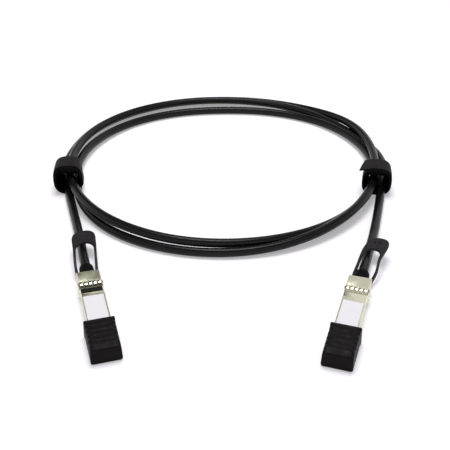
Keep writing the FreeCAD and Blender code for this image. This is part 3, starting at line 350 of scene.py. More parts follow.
def finish(name, colour, roughness, metallic=0.0, gloss=0.5, darker=0.8, rough_spread=0.1,
           bump=0.1, fineness=1.0, smudge_size=1.0, coat=0.0, sheen=0.0):
    """A surface with grain and smudges. Its colour lies between the written one and a darker
    one, and its roughness a little either side of the written one, by the smudge mask."""
    item = bpy.data.materials.new(name)
    item.use_nodes = True
    tree = item.node_tree
    shader = tree.nodes["Principled BSDF"]
    preset(shader, {"Metallic": metallic, "Specular IOR Level": gloss, "Coat Weight": coat,
                    "Sheen Weight": sheen})
    grain = tree.nodes.new("ShaderNodeGroup")
    grain.node_tree = shared_group(grain_group)
    preset(grain, {"Fineness": fineness, "Smudge size": smudge_size})
    mask = tree.nodes.new("ShaderNodeMapRange")
    preset(mask, {"From Min": 0.35, "From Max": 0.65})
    join(tree, grain.outputs["Smudge"], mask.inputs["Value"])
    tint = tree.nodes.new("ShaderNodeMix")
    tint.data_type = "RGBA"
    preset(tint, {"A": (*colour, 1.0), "B": (*(channel * darker for channel in colour), 1.0)})
    join(tree, mask.outputs["Result"], tint.inputs["Factor"])
    join(tree, tint.outputs["Result"], shader.inputs["Base Color"])
    rough = tree.nodes.new("ShaderNodeMapRange")
    preset(rough, {"From Min": 0.3, "From Max": 0.7, "To Min": roughness - rough_spread,
                   "To Max": roughness + rough_spread})
    join(tree, grain.outputs["Smudge"], rough.inputs["Value"])
    join(tree, rough.outputs["Result"], shader.inputs["Roughness"])
    raised = tree.nodes.new("ShaderNodeBump")
    preset(raised, {"Strength": bump, "Distance": 0.05 * MM})
    join(tree, grain.outputs["Height"], raised.inputs["Height"])
    join(tree, raised.outputs["Normal"], shader.inputs["Normal"])
    return item


def finish_node(node, item):
    """Gives a carried-over solid a finish in place of its plain one."""
    for place in frame["nodes"][node].material_slots:
        place.material = item


# ---------------------------------------------------------------- the stage
class CABLE_OT_stage(bpy.types.Operator):
    """Pale floor, soft lights and the camera"""
    bl_idname = "cable.stage"
    bl_label = "Stage"

    def execute(self, context):
        settings = context.scene.cable_model.stage
        scene = context.scene
        scene.view_settings.view_transform = "Standard"
        lens = bpy.data.cameras.new("Camera")
        lens.lens = settings.focal_length
        lens.sensor_width = 36.0
        lens.clip_start = 0.01
        camera = bpy.data.objects.new("Camera", lens)
        camera.location = (-settings.camera_aside, -settings.camera_back,
                           settings.camera_height)
        camera.rotation_euler = (math.pi / 2 - settings.camera_fall, 0.0, 0.0)
        scene.collection.objects.link(camera)
        scene.camera = camera
        self.floor(scene, settings)
        self.sky(scene, settings)
        self.lamp(scene, "Key", settings.key_power, 0.5, (0.0, 0.22, 1.13), (0.0, 0.1, 0.0))
        return {"FINISHED"}

    def floor(self, scene, settings):
        """A level square that shows white to the camera and keeps the object's shadow."""
        half = 4.0
        mesh = bpy.data.meshes.new("Floor")
        mesh.from_pydata([(-half, -half, 0), (half, -half, 0), (half, half, 0),
                          (-half, half, 0)], [], [(0, 1, 2, 3)])
        floor = bpy.data.objects.new("Floor", mesh)
        floor.location.z = -0.05 * MM
        scene.collection.objects.link(floor)
        item = bpy.data.materials.new("Floor")
        item.use_nodes = True
        tree = item.node_tree
        shader = tree.nodes["Principled BSDF"]
        preset(shader, {"Base Color": (*settings.floor_colour, 1.0), "Roughness": 0.9,
                        "Specular IOR Level": 0.0, "Emission Color": (1.0, 1.0, 1.0, 1.0)})
        join(tree, maths(tree, "MULTIPLY", seen_directly(tree), settings.floor_glow),
             shader.inputs["Emission Strength"])
        mesh.materials.append(item)

    def sky(self, scene, settings):
        """An even, faintly tinted light; white where the camera sees it; and in mirrors white low
        down, dim overhead, with a dark flag behind on the left."""
        world = bpy.data.worlds.new("Sky")
        scene.world = world
        world.use_nodes = True
        tree = world.node_tree
        background = tree.nodes["Background"]
        where = tree.nodes.new("ShaderNodeTexCoord").outputs["Generated"]
        axes = tree.nodes.new("ShaderNodeSeparateXYZ")
        join(tree, where, axes.inputs[0])
        aim = tree.nodes.new("ShaderNodeVectorMath")
        aim.operation = "DOT_PRODUCT"
        aim.inputs[1].default_value = Vector((-0.25, 0.76, 0.60)).normalized()
        join(tree, where, aim.inputs[0])
        open_part = maths(tree, "SUBTRACT", 1.0, maths(
            tree, "MULTIPLY", smooth_step(tree, axes.outputs["Z"], 0.52, 0.88), 0.88))
        flag = maths(tree, "SUBTRACT", 1.0, maths(
            tree, "MULTIPLY", smooth_step(tree, aim.outputs["Value"], 0.925, 0.975), 0.97))
        mirrored = maths(tree, "MULTIPLY", open_part, flag)
        path = tree.nodes.new("ShaderNodeLightPath")
        seen = tree.nodes.new("ShaderNodeMix")
        seen.inputs["A"].default_value = 1.0
        join(tree, mirrored, seen.inputs["B"])
        join(tree, path.outputs["Is Glossy Ray"], seen.inputs["Factor"])
        strength = tree.nodes.new("ShaderNodeMix")
        strength.inputs["A"].default_value = settings.sky_strength
        join(tree, seen.outputs["Result"], strength.inputs["B"])
        colour = tree.nodes.new("ShaderNodeMix")
        colour.data_type = "RGBA"
        preset(colour, {"A": (*settings.sky_colour, 1.0), "B": (1.0, 1.0, 1.0, 1.0)})
        direct = seen_directly(tree)
        join(tree, direct, strength.inputs["Factor"])
        join(tree, direct, colour.inputs["Factor"])
        join(tree, strength.outputs["Result"], background.inputs["Strength"])
        join(tree, colour.outputs["Result"], background.inputs["Color"])

    def lamp(self, scene, name, power, size, place, target):
        """A square area lamp at a place, turned to its target."""
        data = bpy.data.lights.new(name, "AREA")
        data.energy = power
        data.size = size
        lamp = bpy.data.objects.new(name, data)
        lamp.location = place
        aim = Vector(target) - Vector(place)
        lamp.rotation_euler = aim.to_track_quat("-Z", "Y").to_euler()
        scene.collection.objects.link(lamp)


def smooth_step(tree, value, start, stop):
    """0 at start, 1 at stop and smooth between them."""
    node = tree.nodes.new("ShaderNodeMapRange")
    node.interpolation_type = "SMOOTHSTEP"
    preset(node, {"From Min": start, "From Max": stop})
    join(tree, value, node.inputs["Value"])
    return node.outputs["Result"]


def seen_directly(tree):
    """1 for camera, mirror and transmission rays, otherwise 0."""
    path = tree.nodes.new("ShaderNodeLightPath")
    first = maths(tree, "MAXIMUM", path.outputs["Is Camera Ray"],
                  path.outputs["Is Glossy Ray"])
    return maths(tree, "MAXIMUM", first, path.outputs["Is Transmission Ray"])


# ---------------------------------------------------------------- the cable
# Each lead's route after the plug's axis, in mm, up to the coil.
LEAD_ROUTES = {
    "left": ((-98.3, 71.2, 3.2), (-107.4, 105.7, 3.2), (-113.3, 129.7, 5.0), (-116.9, 145.7, 5.2)),
    "right": ((95.0, 69.2, 3.2), (103.5, 103.7, 3.2), (109.3, 130.2, 5.3), (112.6, 146.2, 5.4)),
}
# The coil's radius and height in mm, every eighth of a turn, clockwise from the left tie.
COIL_STATIONS = (
    (117.5, 5.2), (120.2, 3.2), (116.1, 3.0), (118.5, 4.0), (110.0, 10.2), (114.5, 8.2),
    (117.6, 3.0), (118.5, 4.4), (110.0, 5.6), (103.5, 3.2), (94.4, 3.0), (105.5, 3.2),
    (110.5, 5.8), (110.8, 4.4), (112.3, 6.6), (117.6, 9.0), (113.5, 9.9), (115.4, 6.2),
    (110.3, 5.6), (113.0, 4.6), (116.8, 5.4),
)
COIL_CENTRE = (-2.1, 163.2)
STATIONS_PER_TURN = 8
POINTS_PER_STATION = 2
SAMPLE = 0.005  # spacing of the samples while the strands are parted, in metres
STRAND_GAP = 1.03  # distance between touching strands, in diameters
LOWEST = 3.1


def coil_points():
    """Control points of the coiled turns. Radius and height pass smoothly (Catmull-Rom) through
    the stations, and the radius is widened by the cosine of half a step, because the spline cuts
    inside its points."""
    stations = np.array(COIL_STATIONS)
    last = len(stations) - 1
    place = np.arange(last * POINTS_PER_STATION + 1) / POINTS_PER_STATION
    first = np.minimum(place.astype(int), last - 1)
    part = (place - first)[:, None]
    before, here, after, beyond = (stations[np.clip(first + step, 0, last)]
                                   for step in (-1, 0, 1, 2))
    slope_here, slope_after, rise = (after - before) / 2, (beyond - here) / 2, after - here
    bend = 3 * rise - 2 * slope_here - slope_after
    twist = slope_here + slope_after - 2 * rise
    radius, height = (here + part * (slope_here + part * (bend + part * twist))).T
    height = np.maximum(height, LOWEST)
    step = math.tau / STATIONS_PER_TURN / POINTS_PER_STATION
    radius = radius / math.cos(step / 2)
    angle = math.pi - math.tau * place / STATIONS_PER_TURN
    return np.stack((COIL_CENTRE[0] + radius * np.cos(angle),
                     COIL_CENTRE[1] + radius * np.sin(angle), height), axis=1) * MM


def evenly_sampled(points, spacing):
    """Samples at an even spacing along the quadratic B-spline of the points:
    ((1 - t)^2 a + (1 + 2 t - 2 t^2) b + t^2 c) / 2 over every three neighbours a, b, c."""
    padded = np.concatenate((points[:1], points, points[-1:]))
    part = np.linspace(0, 1, 16, endpoint=False)[None, :, None]
    before, here, after = (padded[start:start + len(points), None] for start in range(3))
    curve = ((1 - part) ** 2 * before + (1 + 2 * part - 2 * part ** 2) * here
             + part ** 2 * after) / 2
    curve = np.concatenate((curve.reshape(-1, 3), points[-1:]))
    run = np.concatenate(([0.0], np.cumsum(np.linalg.norm(np.diff(curve, axis=0), axis=1))))
    place = np.linspace(0, run[-1], round(run[-1] / spacing) + 1)
    return np.stack([np.interp(place, run, column) for column in curve.T], axis=1)


def parted(points, gap, spacing, rounds=160):
    """Pushes stretches of the line that touch apart until they lie a gap from each other, as
    coiled strands do. Both ends stay in place, and each round smooths the pushes."""
    count = len(points)
    index = np.arange(count)
    other = np.abs(index[:, None] - index[None, :]) * spacing > 5 * gap
    free = np.clip((np.minimum(index, index[::-1]) * spacing - 0.05) / 0.03, 0, 1)[:, None]
    bell = np.exp(-0.5 * (np.arange(-15, 16) * spacing / 0.025) ** 2)
    bell /= bell.sum()
    for _ in range(rounds):
        offset = points[:, None] - points[None, :]
        distance = np.linalg.norm(offset, axis=2) + 1e-9
        short = np.where(other, np.clip(gap - distance, 0, None), 0.0)
        push = (offset * (short / distance)[..., None]).sum(axis=1)
        push /= np.maximum((short > 0).sum(axis=1), 1)[:, None]
        push = np.stack([np.convolve(column, bell, "same") for column in push.T], axis=1)
        points = points + push * free
        points[:, 2] = np.where(free[:, 0] > 0, np.maximum(points[:, 2], LOWEST * MM),
                                points[:, 2])
    return points


class CABLE_OT_cable(bpy.types.Operator):
    """The cable from one crimp to the other, coiled two and a half times"""
    bl_idname = "cable.cable"
    bl_label = "Cable"

    def execute(self, context):
        settings = context.scene.cable_model.cable
        ends = {side: in_row(side, [(0, CRIMP, AXIS_HEIGHT), (0, BEHIND_BOOT, AXIS_HEIGHT)])
                for side in SIDES}
        routes = {side: np.concatenate((ends[side], np.array(LEAD_ROUTES[side]) * MM))
                  for side in SIDES}
        points = np.concatenate((routes["left"], coil_points(), routes["right"][::-1]))
        points = parted(evenly_sampled(points, SAMPLE), settings.diameter * STRAND_GAP,
                        SAMPLE)
        points = np.concatenate((points[:-1:3], points[-1:]))
        curve = bpy.data.curves.new("cable", "CURVE")
        curve.dimensions = "3D"
        spline = curve.splines.new("NURBS")
        spline.points.add(len(points) - 1)
        spline.points.foreach_set("co", np.c_[points, np.ones(len(points))].ravel())
        spline.order_u = 3
        spline.use_endpoint_u = True
        spline.resolution_u = 4
        curve.bevel_depth = settings.diameter / 2
        curve.bevel_resolution = 6
        cable = add_object("cable", curve, ROOT, jacket_finish(settings.jacket))
        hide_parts("cable_lead_left", "cable_coil", "cable_lead_right")
        return {"FINISHED"}


def jacket_finish(colour):
    """Extruded black jacket: semi-gloss, with faint drawn lines and dust."""
    return finish("Jacket", colour, roughness=0.3, gloss=0.2, darker=0.6, rough_spread=0.07,
                  bump=0.12, fineness=0.7, smudge_size=1.6)


# ---------------------------------------------------------------- the ties
TIE_TURN = {"left": math.radians(6.5), "right": math.radians(-10.0)}
TIE_HALF = 10.9
TIE_HALF_WIDE = 7.7
TIE_POWER = 2.86
TIE_TURNS = {"left": 3.75, "right": 2.66}
# First turn of a strap at its front and at its rear: half width, top, share of the bundle's
# shift, and how much narrower than in front the loose turns are.
SNUG_TURNS = ((9.4, 15.0, 0.3, 0.0), (6.4, 13.6, 1.0, 0.6))
SNUG_SET_BACK = 4.4
TAIL_POINTS = 14
BUNDLE_SHIFT = {"left": 0.9, "right": 0.9}


def tie_places(side):
    """Centre of a tie on the floor, from the edges of its box, and its half width and height."""
    low, high = (np.array(corner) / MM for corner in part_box("cable_tie_" + side))
    turn = TIE_TURN[side]
    reach = TIE_HALF * math.cos(turn) + TIE_HALF_WIDE * abs(math.sin(turn))
    x = high[0] - reach
    y = (low[1] + high[1]) / 2
    return x, y, turn, high[2]


class CABLE_OT_ties(bpy.types.Operator):
    """Two hook-and-loop straps round the bundle"""
    bl_idname = "cable.ties"
    bl_label = "Ties"

    def execute(self, context):
        settings = context.scene.cable_model.cable
        cloth = strap_finish("Strap loops", settings.strap)
        hooks = finish("Strap hooks", settings.hooks, roughness=0.8, gloss=0.1,
                       bump=0.6, fineness=0.5)
        for side in SIDES:
            self.strap(side, settings, cloth, hooks)
        return {"FINISHED"}

    def strap(self, side, settings, cloth, hooks):
        """A strap wound snugly once and then loosely. Its front and rear edges are superellipses
        in x and z, |x/a|^power + |z/b|^power = 1, whose half axes grow by one strap thickness
        per turn, and by a smooth step from the snug turn to the loose ones. The snug turn lies
        further back. The right strap's free end runs off the top to the left."""
        x, y, turn, tall = tie_places(side)
        thick = settings.strap_thick / MM
        angle = np.linspace(-2.6 * math.pi, TIE_TURNS[side] * math.pi, 420)
        # 0 on the snug first turn, 1 on the loose outer ones
        loose = np.clip((angle / math.pi + 0.75) / 0.9, 0, 1)
        loose = loose * loose * (3 - 2 * loose)
        offset = thick * 1.06 * (angle - angle[-1]) / math.tau
        round_trip = np.stack((np.cos(angle), np.sin(angle)), axis=1)
        round_trip = np.sign(round_trip) * np.abs(round_trip) ** (2 / TIE_POWER)
        wide = settings.strap_wide / MM / 2
        edges = []
        for snug_half, snug_top, aside, narrow in SNUG_TURNS:
            half = snug_half * (1 - loose) + loose * (TIE_HALF - thick / 2 + offset - narrow)
            low = 1.7 * (1 - loose) + loose * (thick / 2 - np.minimum(offset, 0))
            high = snug_top * (1 - loose) + loose * (tall - thick / 2 + offset)
            middle = np.stack((BUNDLE_SHIFT[side] * aside * (1 - loose), (low + high) / 2),
                              axis=1)
            edges.append(middle + round_trip * np.stack((half, (high - low) / 2), axis=1))
        if side == "right":
            loose = np.concatenate((loose, np.ones(TAIL_POINTS)))
            tail = np.linspace(0.08, 1.0, TAIL_POINTS)[:, None]
            tail = tail * np.array((-6.4, -0.9)) + tail ** 2 * np.array((0.0, -0.3))
            edges = [np.concatenate((edge, edge[-1] + tail)) for edge in edges]
        line = (edges[0] + edges[1]) / 2
        along = np.gradient(line, axis=0)
        along /= np.linalg.norm(along, axis=1)[:, None]
        outward = np.stack((along[:, 1], -along[:, 0]), axis=1)
        profile = self.profile(wide, thick / 2)
        back = np.clip(profile[:, 0] / wide + 0.1, 0, 1)[None, :, None]
        across = (edges[0][:, None] * (1 - back) + edges[1][:, None] * back
                  + outward[:, None, :] * profile[None, :, 1:])
        across[..., 1] = np.maximum(across[..., 1], 0.02)
        share = np.linspace(0, 1, len(line))
        shift = np.interp(share, (0.55, 0.75), (-0.35, 0.35)) + SNUG_SET_BACK * (1 - loose)
        depth = profile[None, :, 0] + shift[:, None]
        if side == "right":
            # the free end is cut askew
            cut = np.clip((np.arange(len(line)) - len(line) + TAIL_POINTS)
                          / (TAIL_POINTS - 1), 0, 1)[:, None]
            across[..., 0] += 0.2 * cut * (depth + wide)
        local = np.stack((across[..., 0], depth, across[..., 1]), axis=-1)
        flat = local.reshape(-1, 3)
        placed = np.stack((x + flat[:, 0] * math.cos(turn) - flat[:, 1] * math.sin(turn),
                           y + flat[:, 0] * math.sin(turn) + flat[:, 1] * math.cos(turn),
                           flat[:, 2]), axis=1) * MM
        item = make_object("tie_" + side, placed, loft(local), ROOT, cloth, 50)
        item.data.materials.append(hooks)
        # the strap's inner face carries the hooks
        inside = np.arange(len(profile)) >= len(profile) // 2
        faces = np.tile(inside, len(line) - 1)
        for face, hooked in zip(item.data.polygons, faces):
            face.material_index = int(hooked)
        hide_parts("cable_tie_" + side)

    def profile(self, wide, half):
        """Closed section of the strap: straight faces and round edges, as offset along the
        bundle and offset outwards."""
        turn = np.linspace(-math.pi / 2, math.pi / 2, 5)
        edge = np.stack((wide - half + half * np.cos(turn), half * np.sin(turn)), axis=1)
        top = np.stack((np.linspace(wide - half, half - wide, 9)[1:-1], np.full(7, half)), axis=1)
        return np.concatenate((edge, top, -edge, -top))


def strap_finish(name, colour):
    """Brushed loop fabric."""
    return finish(name, colour, roughness=0.92, gloss=0.1, darker=0.72, rough_spread=0.05,
                  bump=0.9, fineness=0.8, smudge_size=0.35, sheen=0.08)


# ---------------------------------------------------------------- pieces of the plugs
class CABLE_OT_boots(bpy.types.Operator):
    """Moulded strain reliefs behind the shells"""
    bl_idname = "cable.boots"
    bl_label = "Boots"

    def execute(self, context):
        rubber = finish("Boot rubber", context.scene.cable_model.plug.boot, roughness=0.55,
                        gloss=0.06, bump=0.2, smudge_size=0.5)
        # (distance behind the shell, radius) along the skin, from the neck's bore to the dome's
        shoulder = np.linspace(0, math.pi / 2, 9)
        outer = [(-2.0, 3.05), (-2.0, 3.8), (0.0, 3.8), (0.02, 4.1), (0.25, 4.3), (1.7, 4.3),
                 (1.9, 4.2), (2.2, 4.2), (2.4, 4.3), (7.6, 4.3)]
        outer += [(7.6 + 1.9 * math.sin(turn), 3.15 + 1.15 * math.cos(turn))
                  for turn in shoulder[1:]]
        outer += [(9.8, 3.12), (10.0, 3.1), (10.0, 3.03)]
        skin = np.array(outer)
        around = np.linspace(0, math.tau, 48, endpoint=False)
        for side in SIDES:
            rings = np.stack((skin[:, 1:] * np.cos(around), np.broadcast_to(
                REAR + skin[:, :1], (len(skin), len(around))),
                AXIS_HEIGHT + skin[:, 1:] * np.sin(around)), axis=-1)
            faces = grid_faces(len(skin), len(around), wrap_rows=True)
            item = make_object(side + "_boot", in_row(side, rings), faces, ROOT, rubber,
                               60)
            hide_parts(side + "_cable_boot")
        return {"FINISHED"}


# Dust cap in mm: its length, where the rim starts, and the grip grooves across its top.
CAP_LENGTH = 24.0
CAP_RIM = 22.3
GROOVES = 4
GROOVE_FIRST, GROOVE_PITCH, GROOVE_HALF, GROOVE_DEEP = 6.3, 4.1, 1.25, 0.38


class CABLE_OT_caps(bpy.types.Operator):
    """Rubber dust caps over the noses"""
    bl_idname = "cable.caps"
    bl_label = "Dust caps"

    def execute(self, context):
        rubber = finish("Cap rubber", context.scene.cable_model.plug.cap, roughness=0.48,
                        gloss=0.09, bump=0.35, fineness=0.8, smudge_size=0.6)
        for side in SIDES:
            sections = self.sections()
            item = make_object(side + "_cap", in_row(side, sections), loft(sections),
                               side + "_cap", rubber, 50)
            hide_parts(side + "_dust_cap")
        return {"FINISHED"}

    def sections(self):
        """Rounded rectangles from the front face over the outside to the rim and back inside.
        The half width grows evenly, the top falls by a straight slope in front, the front edge
        is a quarter circle, cosine grooves cross the top, and the rim stands proud."""
        edge = 0.45
        turn = np.linspace(0, math.pi / 2, 5)
        front = edge * (1 - np.cos(turn))
        along = np.concatenate((front, np.linspace(edge, CAP_RIM, 170)[1:],
                                [22.45, 22.7, 23.7, 23.93, CAP_LENGTH]))
        rim = np.clip((along - CAP_RIM) / 0.4, 0, 1)
        inset = np.concatenate((edge * (1 - np.sin(turn)), np.zeros(171), [0.0, 0.07, 0.25]))
        half = 8.5 + 0.3 * along / CAP_LENGTH - inset - 0.15 * (1 - rim)
        slope = np.clip(1 - along / 3.9, 0, 1)
        top = 10.95 - 1.25 * slope - 0.12 * (1 - rim) - inset
        groove = np.zeros_like(along)
        for number in range(GROOVES):
            near = np.clip(np.abs(along - GROOVE_FIRST - GROOVE_PITCH * number) / GROOVE_HALF,
                           0, 1)
            groove += GROOVE_DEEP * (0.5 + 0.5 * np.cos(math.pi * near))
        half, top = half - groove * 0.6, top - groove
        inner_along = np.array([CAP_LENGTH, 23.8, 5.6, 5.44])
        rows = rounded_boxes(np.concatenate((half, [6.98, 6.86, 6.86, 6.7])),
                             np.concatenate((np.maximum(inset, 0.0), [1.02, 1.14, 1.14, 1.3])),
                             np.concatenate((top, [9.98, 9.86, 9.86, 9.7])),
                             np.concatenate((1.9 - 1.3 * rim, [0.3, 0.2, 0.2, 0.2])),
                             np.concatenate((1.5 - 0.9 * rim, [0.3, 0.2, 0.2, 0.2])))
        # the sides lean in towards the top
        outside = rows[:len(along)]
        outside[..., 0] *= 1.035 - 0.06 * outside[..., 1] / 10.85
        depth = np.concatenate((along, inner_along))[:, None]
        depth = np.broadcast_to(depth, rows.shape[:2])
        return np.stack((rows[..., 0], depth, rows[..., 1]), axis=-1)


# Plan of a flexed pull tab in mm: distance along the plug, middle, half width, half window.
TAB_PLANS = {
    "left": ((71.3, 0.0, 6.2, 4.6), (75.0, 0.0, 6.6, 4.8), (80.0, 0.1, 7.1, 5.3),
             (84.0, 0.4, 7.2, 5.5), (90.0, 1.0, 7.2, 5.6), (96.0, 1.6, 7.3, 5.4),
             (104.0, 2.1, 7.5, 5.4), (112.0, 2.8, 7.5, 5.4)),
    "right": ((71.3, 0.0, 6.2, 4.6), (75.0, 0.2, 6.35, 4.75), (78.0, 0.65, 6.7, 5.15),
              (81.0, 1.4, 6.95, 5.35), (84.5, 1.95, 6.85, 5.2), (88.5, 2.1, 6.55, 4.85),
              (93.7, 2.5, 6.5, 4.7), (98.5, 3.3, 6.95, 4.6), (104.0, 4.5, 6.85, 4.6),
              (112.0, 6.0, 6.8, 4.6)),
}
TAB_UNDERSIDE = ((71.3, 0.95), (74.3, 0.95), (90.2, 8.3), (112.0, 10.1))
TAB_TOP = ((71.3, 4.0), (73.3, 4.0), (89.2, 10.3), (112.0, 12.1))
TAB_END, TAB_CORNER = 112.0, 103.5
WINDOW_END, WINDOW_CORNER = 100.1, 94.2
MARK_PLACE, MARK_HALF_WIDE, MARK_HALF_LONG, MARK_DEEP = 106.2, 1.9, 1.2, 0.9


def smooth_through(stations, place, spread=2.2):
    """Values between stations, each the mean of five samples of the straight joins around it."""
    stations = np.array(stations)
    steps = np.linspace(-spread, spread, 5)[:, None]
    near = np.clip(place.ravel()[None, :] + steps, stations[0, 0], stations[-1, 0])
    return np.stack([np.interp(near, stations[:, 0], column).mean(axis=0).reshape(place.shape)
                     for column in stations.T[1:]], axis=-1)


class CABLE_OT_tabs(bpy.types.Operator):
    """Flexible pull tabs"""
    bl_idname = "cable.tabs"
    bl_label = "Pull tabs"

    def execute(self, context):
        plastic = finish("Tab plastic", context.scene.cable_model.plug.tab, roughness=0.5,
                         gloss=0.14, bump=0.25, smudge_size=0.8)
        for side in SIDES:
            sections = self.loop(TAB_PLANS[side])
            item = make_object(side + "_tab", in_row(side, sections), loft(sections),
                               side + "_release", plastic, 60)
            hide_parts(side + "_pull_tab")
        return {"FINISHED"}

    def edge(self, plan, column, corner, end, power):
        """One edge of the loop from foot to foot: up an arm, round the end as the half
        superellipse |x/a|^power + |y/b|^power = 1, and down the other arm."""
        rise = np.linspace(plan[0][0], corner, 46)[:-1]
        turn = np.linspace(0, math.pi, 61)
        along = np.concatenate((rise, corner + (end - corner)
                                * np.clip(np.sin(turn), 0, 1) ** (2 / power), rise[::-1]))
        swing = np.concatenate((np.ones(45), np.sign(np.cos(turn))
                                * np.abs(np.cos(turn)) ** (2 / power), -np.ones(45)))
        middle, *halves = np.moveaxis(smooth_through(plan, along), -1, 0)
        return np.stack((middle - swing * halves[column], along), axis=1)

    def loop(self, plan):
        """Sections across the strip: flat faces with rounded edges between the window's edge
        and the outer edge, and a shallow moulded mark near the end."""
        outer = self.edge(plan, 0, TAB_CORNER, TAB_END, 2.5)
        inner = self.edge(plan, 1, WINDOW_CORNER, WINDOW_END, 2.2)
        width = np.linalg.norm(outer - inner, axis=1)[:, None]
        radius = np.minimum(0.75, width / 2.01)
        turn = np.linspace(0, math.pi / 2, 6)
        rounding = radius * (1 - np.cos(turn))
        middle = radius + (width - 2 * radius) * np.linspace(0, 1, 26)[1:-1]
        place = np.concatenate((rounding, middle, width - rounding[:, ::-1]), axis=1) / width
        fullness = np.concatenate((np.sin(turn), np.ones(24), np.sin(turn[::-1])))
        plan_x, along = np.moveaxis(inner[:, None] + (outer - inner)[:, None]
                                    * place[..., None], -1, 0)
        low = smooth_through(TAB_UNDERSIDE, along, 1.2)[..., 0]
        high = smooth_through(TAB_TOP, along, 1.2)[..., 0]
        half = (high - low) / 2 * fullness
        centre = (high + low) / 2
        lean = smooth_through(plan, np.array([106.0]))[0, 0]
        mark = np.maximum(np.abs(plan_x - lean) / MARK_HALF_WIDE,
                          np.abs(along - MARK_PLACE) / MARK_HALF_LONG)
        dent = MARK_DEEP * np.clip((1.1 - mark) / 0.16, 0, 1)
        upper = np.stack((plan_x, along, centre + half - dent), axis=-1)
        lower = np.stack((plan_x, along, centre - half), axis=-1)
        return np.concatenate((upper, lower[:, ::-1]), axis=1)


class CABLE_OT_collars(bpy.types.Operator):
    """Stamped spring collars with rows of bowed fingers"""
    bl_idname = "cable.collars"
    bl_label = "Spring collars"

    def execute(self, context):
        settings = context.scene.cable_model.plug
        metal = finish("Collar sheet", settings.sheet_metal, roughness=0.2, metallic=1.0,
                       darker=0.9, rough_spread=0.05, bump=0.04)
        polished = finish("Collar band", settings.sheet_metal, roughness=0.1, metallic=1.0,
                          darker=0.92, rough_spread=0.03, bump=0.01)
        for side in SIDES:
            points, faces = self.collar(settings)
            item = make_object(side + "_collar", in_row(side, points), faces, ROOT, metal,
                               40)
            item.data.materials.append(polished)
            origin, _, along = plug_axes(side)
            for face in item.data.polygons:
                place = (np.array(face.center) - origin) @ along / MM
                face.material_index = int(place < BAND_END - 0.3)
            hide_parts(side + "_emi_collar")
        return {"FINISHED"}

    def collar(self, settings):
        """Band and fingers, each a thin sheet: a grid of its outer points and the same grid
        moved inwards by the sheet's thickness."""
        bow = settings.bow / MM
        half = HALF_SHELL - COLLAR_INSET
        top = SHELL_TOP - COLLAR_INSET
        low = SHELL_BASE + COLLAR_INSET
        thick = COLLAR_SHEET
        round_turn = np.linspace(0, math.pi / 2, 5)
        radius = 0.5
        right = [(half - radius + radius * math.cos(turn), top - radius + radius * math.sin(turn))
                 for turn in round_turn]
        right_low = [(half - radius + radius * math.sin(turn),
                      low + radius - radius * math.cos(turn)) for turn in round_turn]
        path = np.array([(2.6, low)] + right_low + right
                        + [(-x, z) for x, z in right[::-1]]
                        + [(-x, z) for x, z in right_low[::-1]] + [(-2.6, low)])
        along = np.gradient(path, axis=0)
        along /= np.linalg.norm(along, axis=1)[:, None]
        outward = np.stack((along[:, 1], -along[:, 0]), axis=1)
        depths = np.array((COLLAR_FRONT, COLLAR_FRONT + 0.15, COLLAR_FRONT + 0.6,
                           BAND_END - 0.3, BAND_END))
        raised = np.array((0.02, thick, thick, thick, thick))
        outer = np.stack([np.column_stack((path[:, 0] + outward[:, 0] * rise,
                                           np.full(len(path), depth),
                                           path[:, 1] + outward[:, 1] * rise))
                          for depth, rise in zip(depths, raised)])
        inner = outer.copy()
        inner[..., 0] -= outward[:, 0] * thick * 0.98
        inner[..., 2] -= outward[:, 1] * thick * 0.98
        sheets = [(outer, inner)]
        share = np.linspace(0, 1, 25)
        depth = BAND_END - 0.35 + share * (FINGER_TIP - BAND_END + 0.35)
        # gentle rise from the band, a step up to the crest and a round fall to the tip
        height = bow * np.interp(share, (0, 0.06, 0.12, 0.4, 0.47, 0.56, 0.66, 0.84, 0.94, 1.0),
                                 (0, 0.14, 0.16, 0.3, 0.4, 0.86, 1.0, 0.92, 0.6, 0.2))
        height = np.convolve(np.pad(height, 1, "edge"), (0.25, 0.5, 0.25), "valid")
        slot = np.interp(share, (0, 0.3, 0.5, 0.62, 0.9, 1), (0.3, 0.3, 0.8, 0.5, 0.28, 0.5))
        for count, centre_low, centre_high, place in self.rows(settings, half, low, top):
            pitch = (centre_high - centre_low) / count
            for number in range(count):
                middle = centre_low + pitch * (number + 0.5)
                spread = np.linspace(-1, 1, 7)[None, :]
                across = middle + spread * (pitch - slot[:, None]) / 2
                crown = 1 - 0.22 * spread ** 4
                rise = height[:, None] * crown + thick
                grid = place(*np.broadcast_arrays(across, depth[:, None], rise))
                under = place(*np.broadcast_arrays(across, depth[:, None],
                                                   rise - thick * 0.98))
                sheets.append((grid, under))
        return join_sheets(sheets)

    def rows(self, settings, half, low, top):
        """The finger rows: how many, from where to where, and how a finger's point is placed."""
        def on_top(across, depth, rise):
            return np.stack((across, depth, top + rise), axis=-1)

        def on_left(across, depth, rise):
            return np.stack((-half - rise, depth, across), axis=-1)

        def on_right(across, depth, rise):
            return np.stack((half + rise, depth, across), axis=-1)

        return ((settings.fingers, -half, half, on_top),
                (SIDE_FINGERS, low, top, on_left), (SIDE_FINGERS, low, top, on_right))


def join_sheets(sheets):
    """One mesh from pairs of outer and inner grids, each pair closed round its four edges."""
    points = []
    faces = []
    count = 0
    for outer, inner in sheets:
        rows, columns = outer.shape[:2]
        size = rows * columns
        top = grid_faces(rows, columns, wrap_columns=False) + count
        points += [outer.reshape(-1, 3), inner.reshape(-1, 3)]
        faces += [top, top[:, ::-1] + size]
        index = np.arange(size).reshape(rows, columns) + count
        rim = np.concatenate((index[0, :-1], index[:-1, -1], index[-1, :0:-1],
                              index[:0:-1, 0]))
        following = np.roll(rim, -1)
        faces.append(np.stack((rim, rim + size, following + size, following), axis=1))
        count += 2 * size
    return np.concatenate(points), np.concatenate(faces)


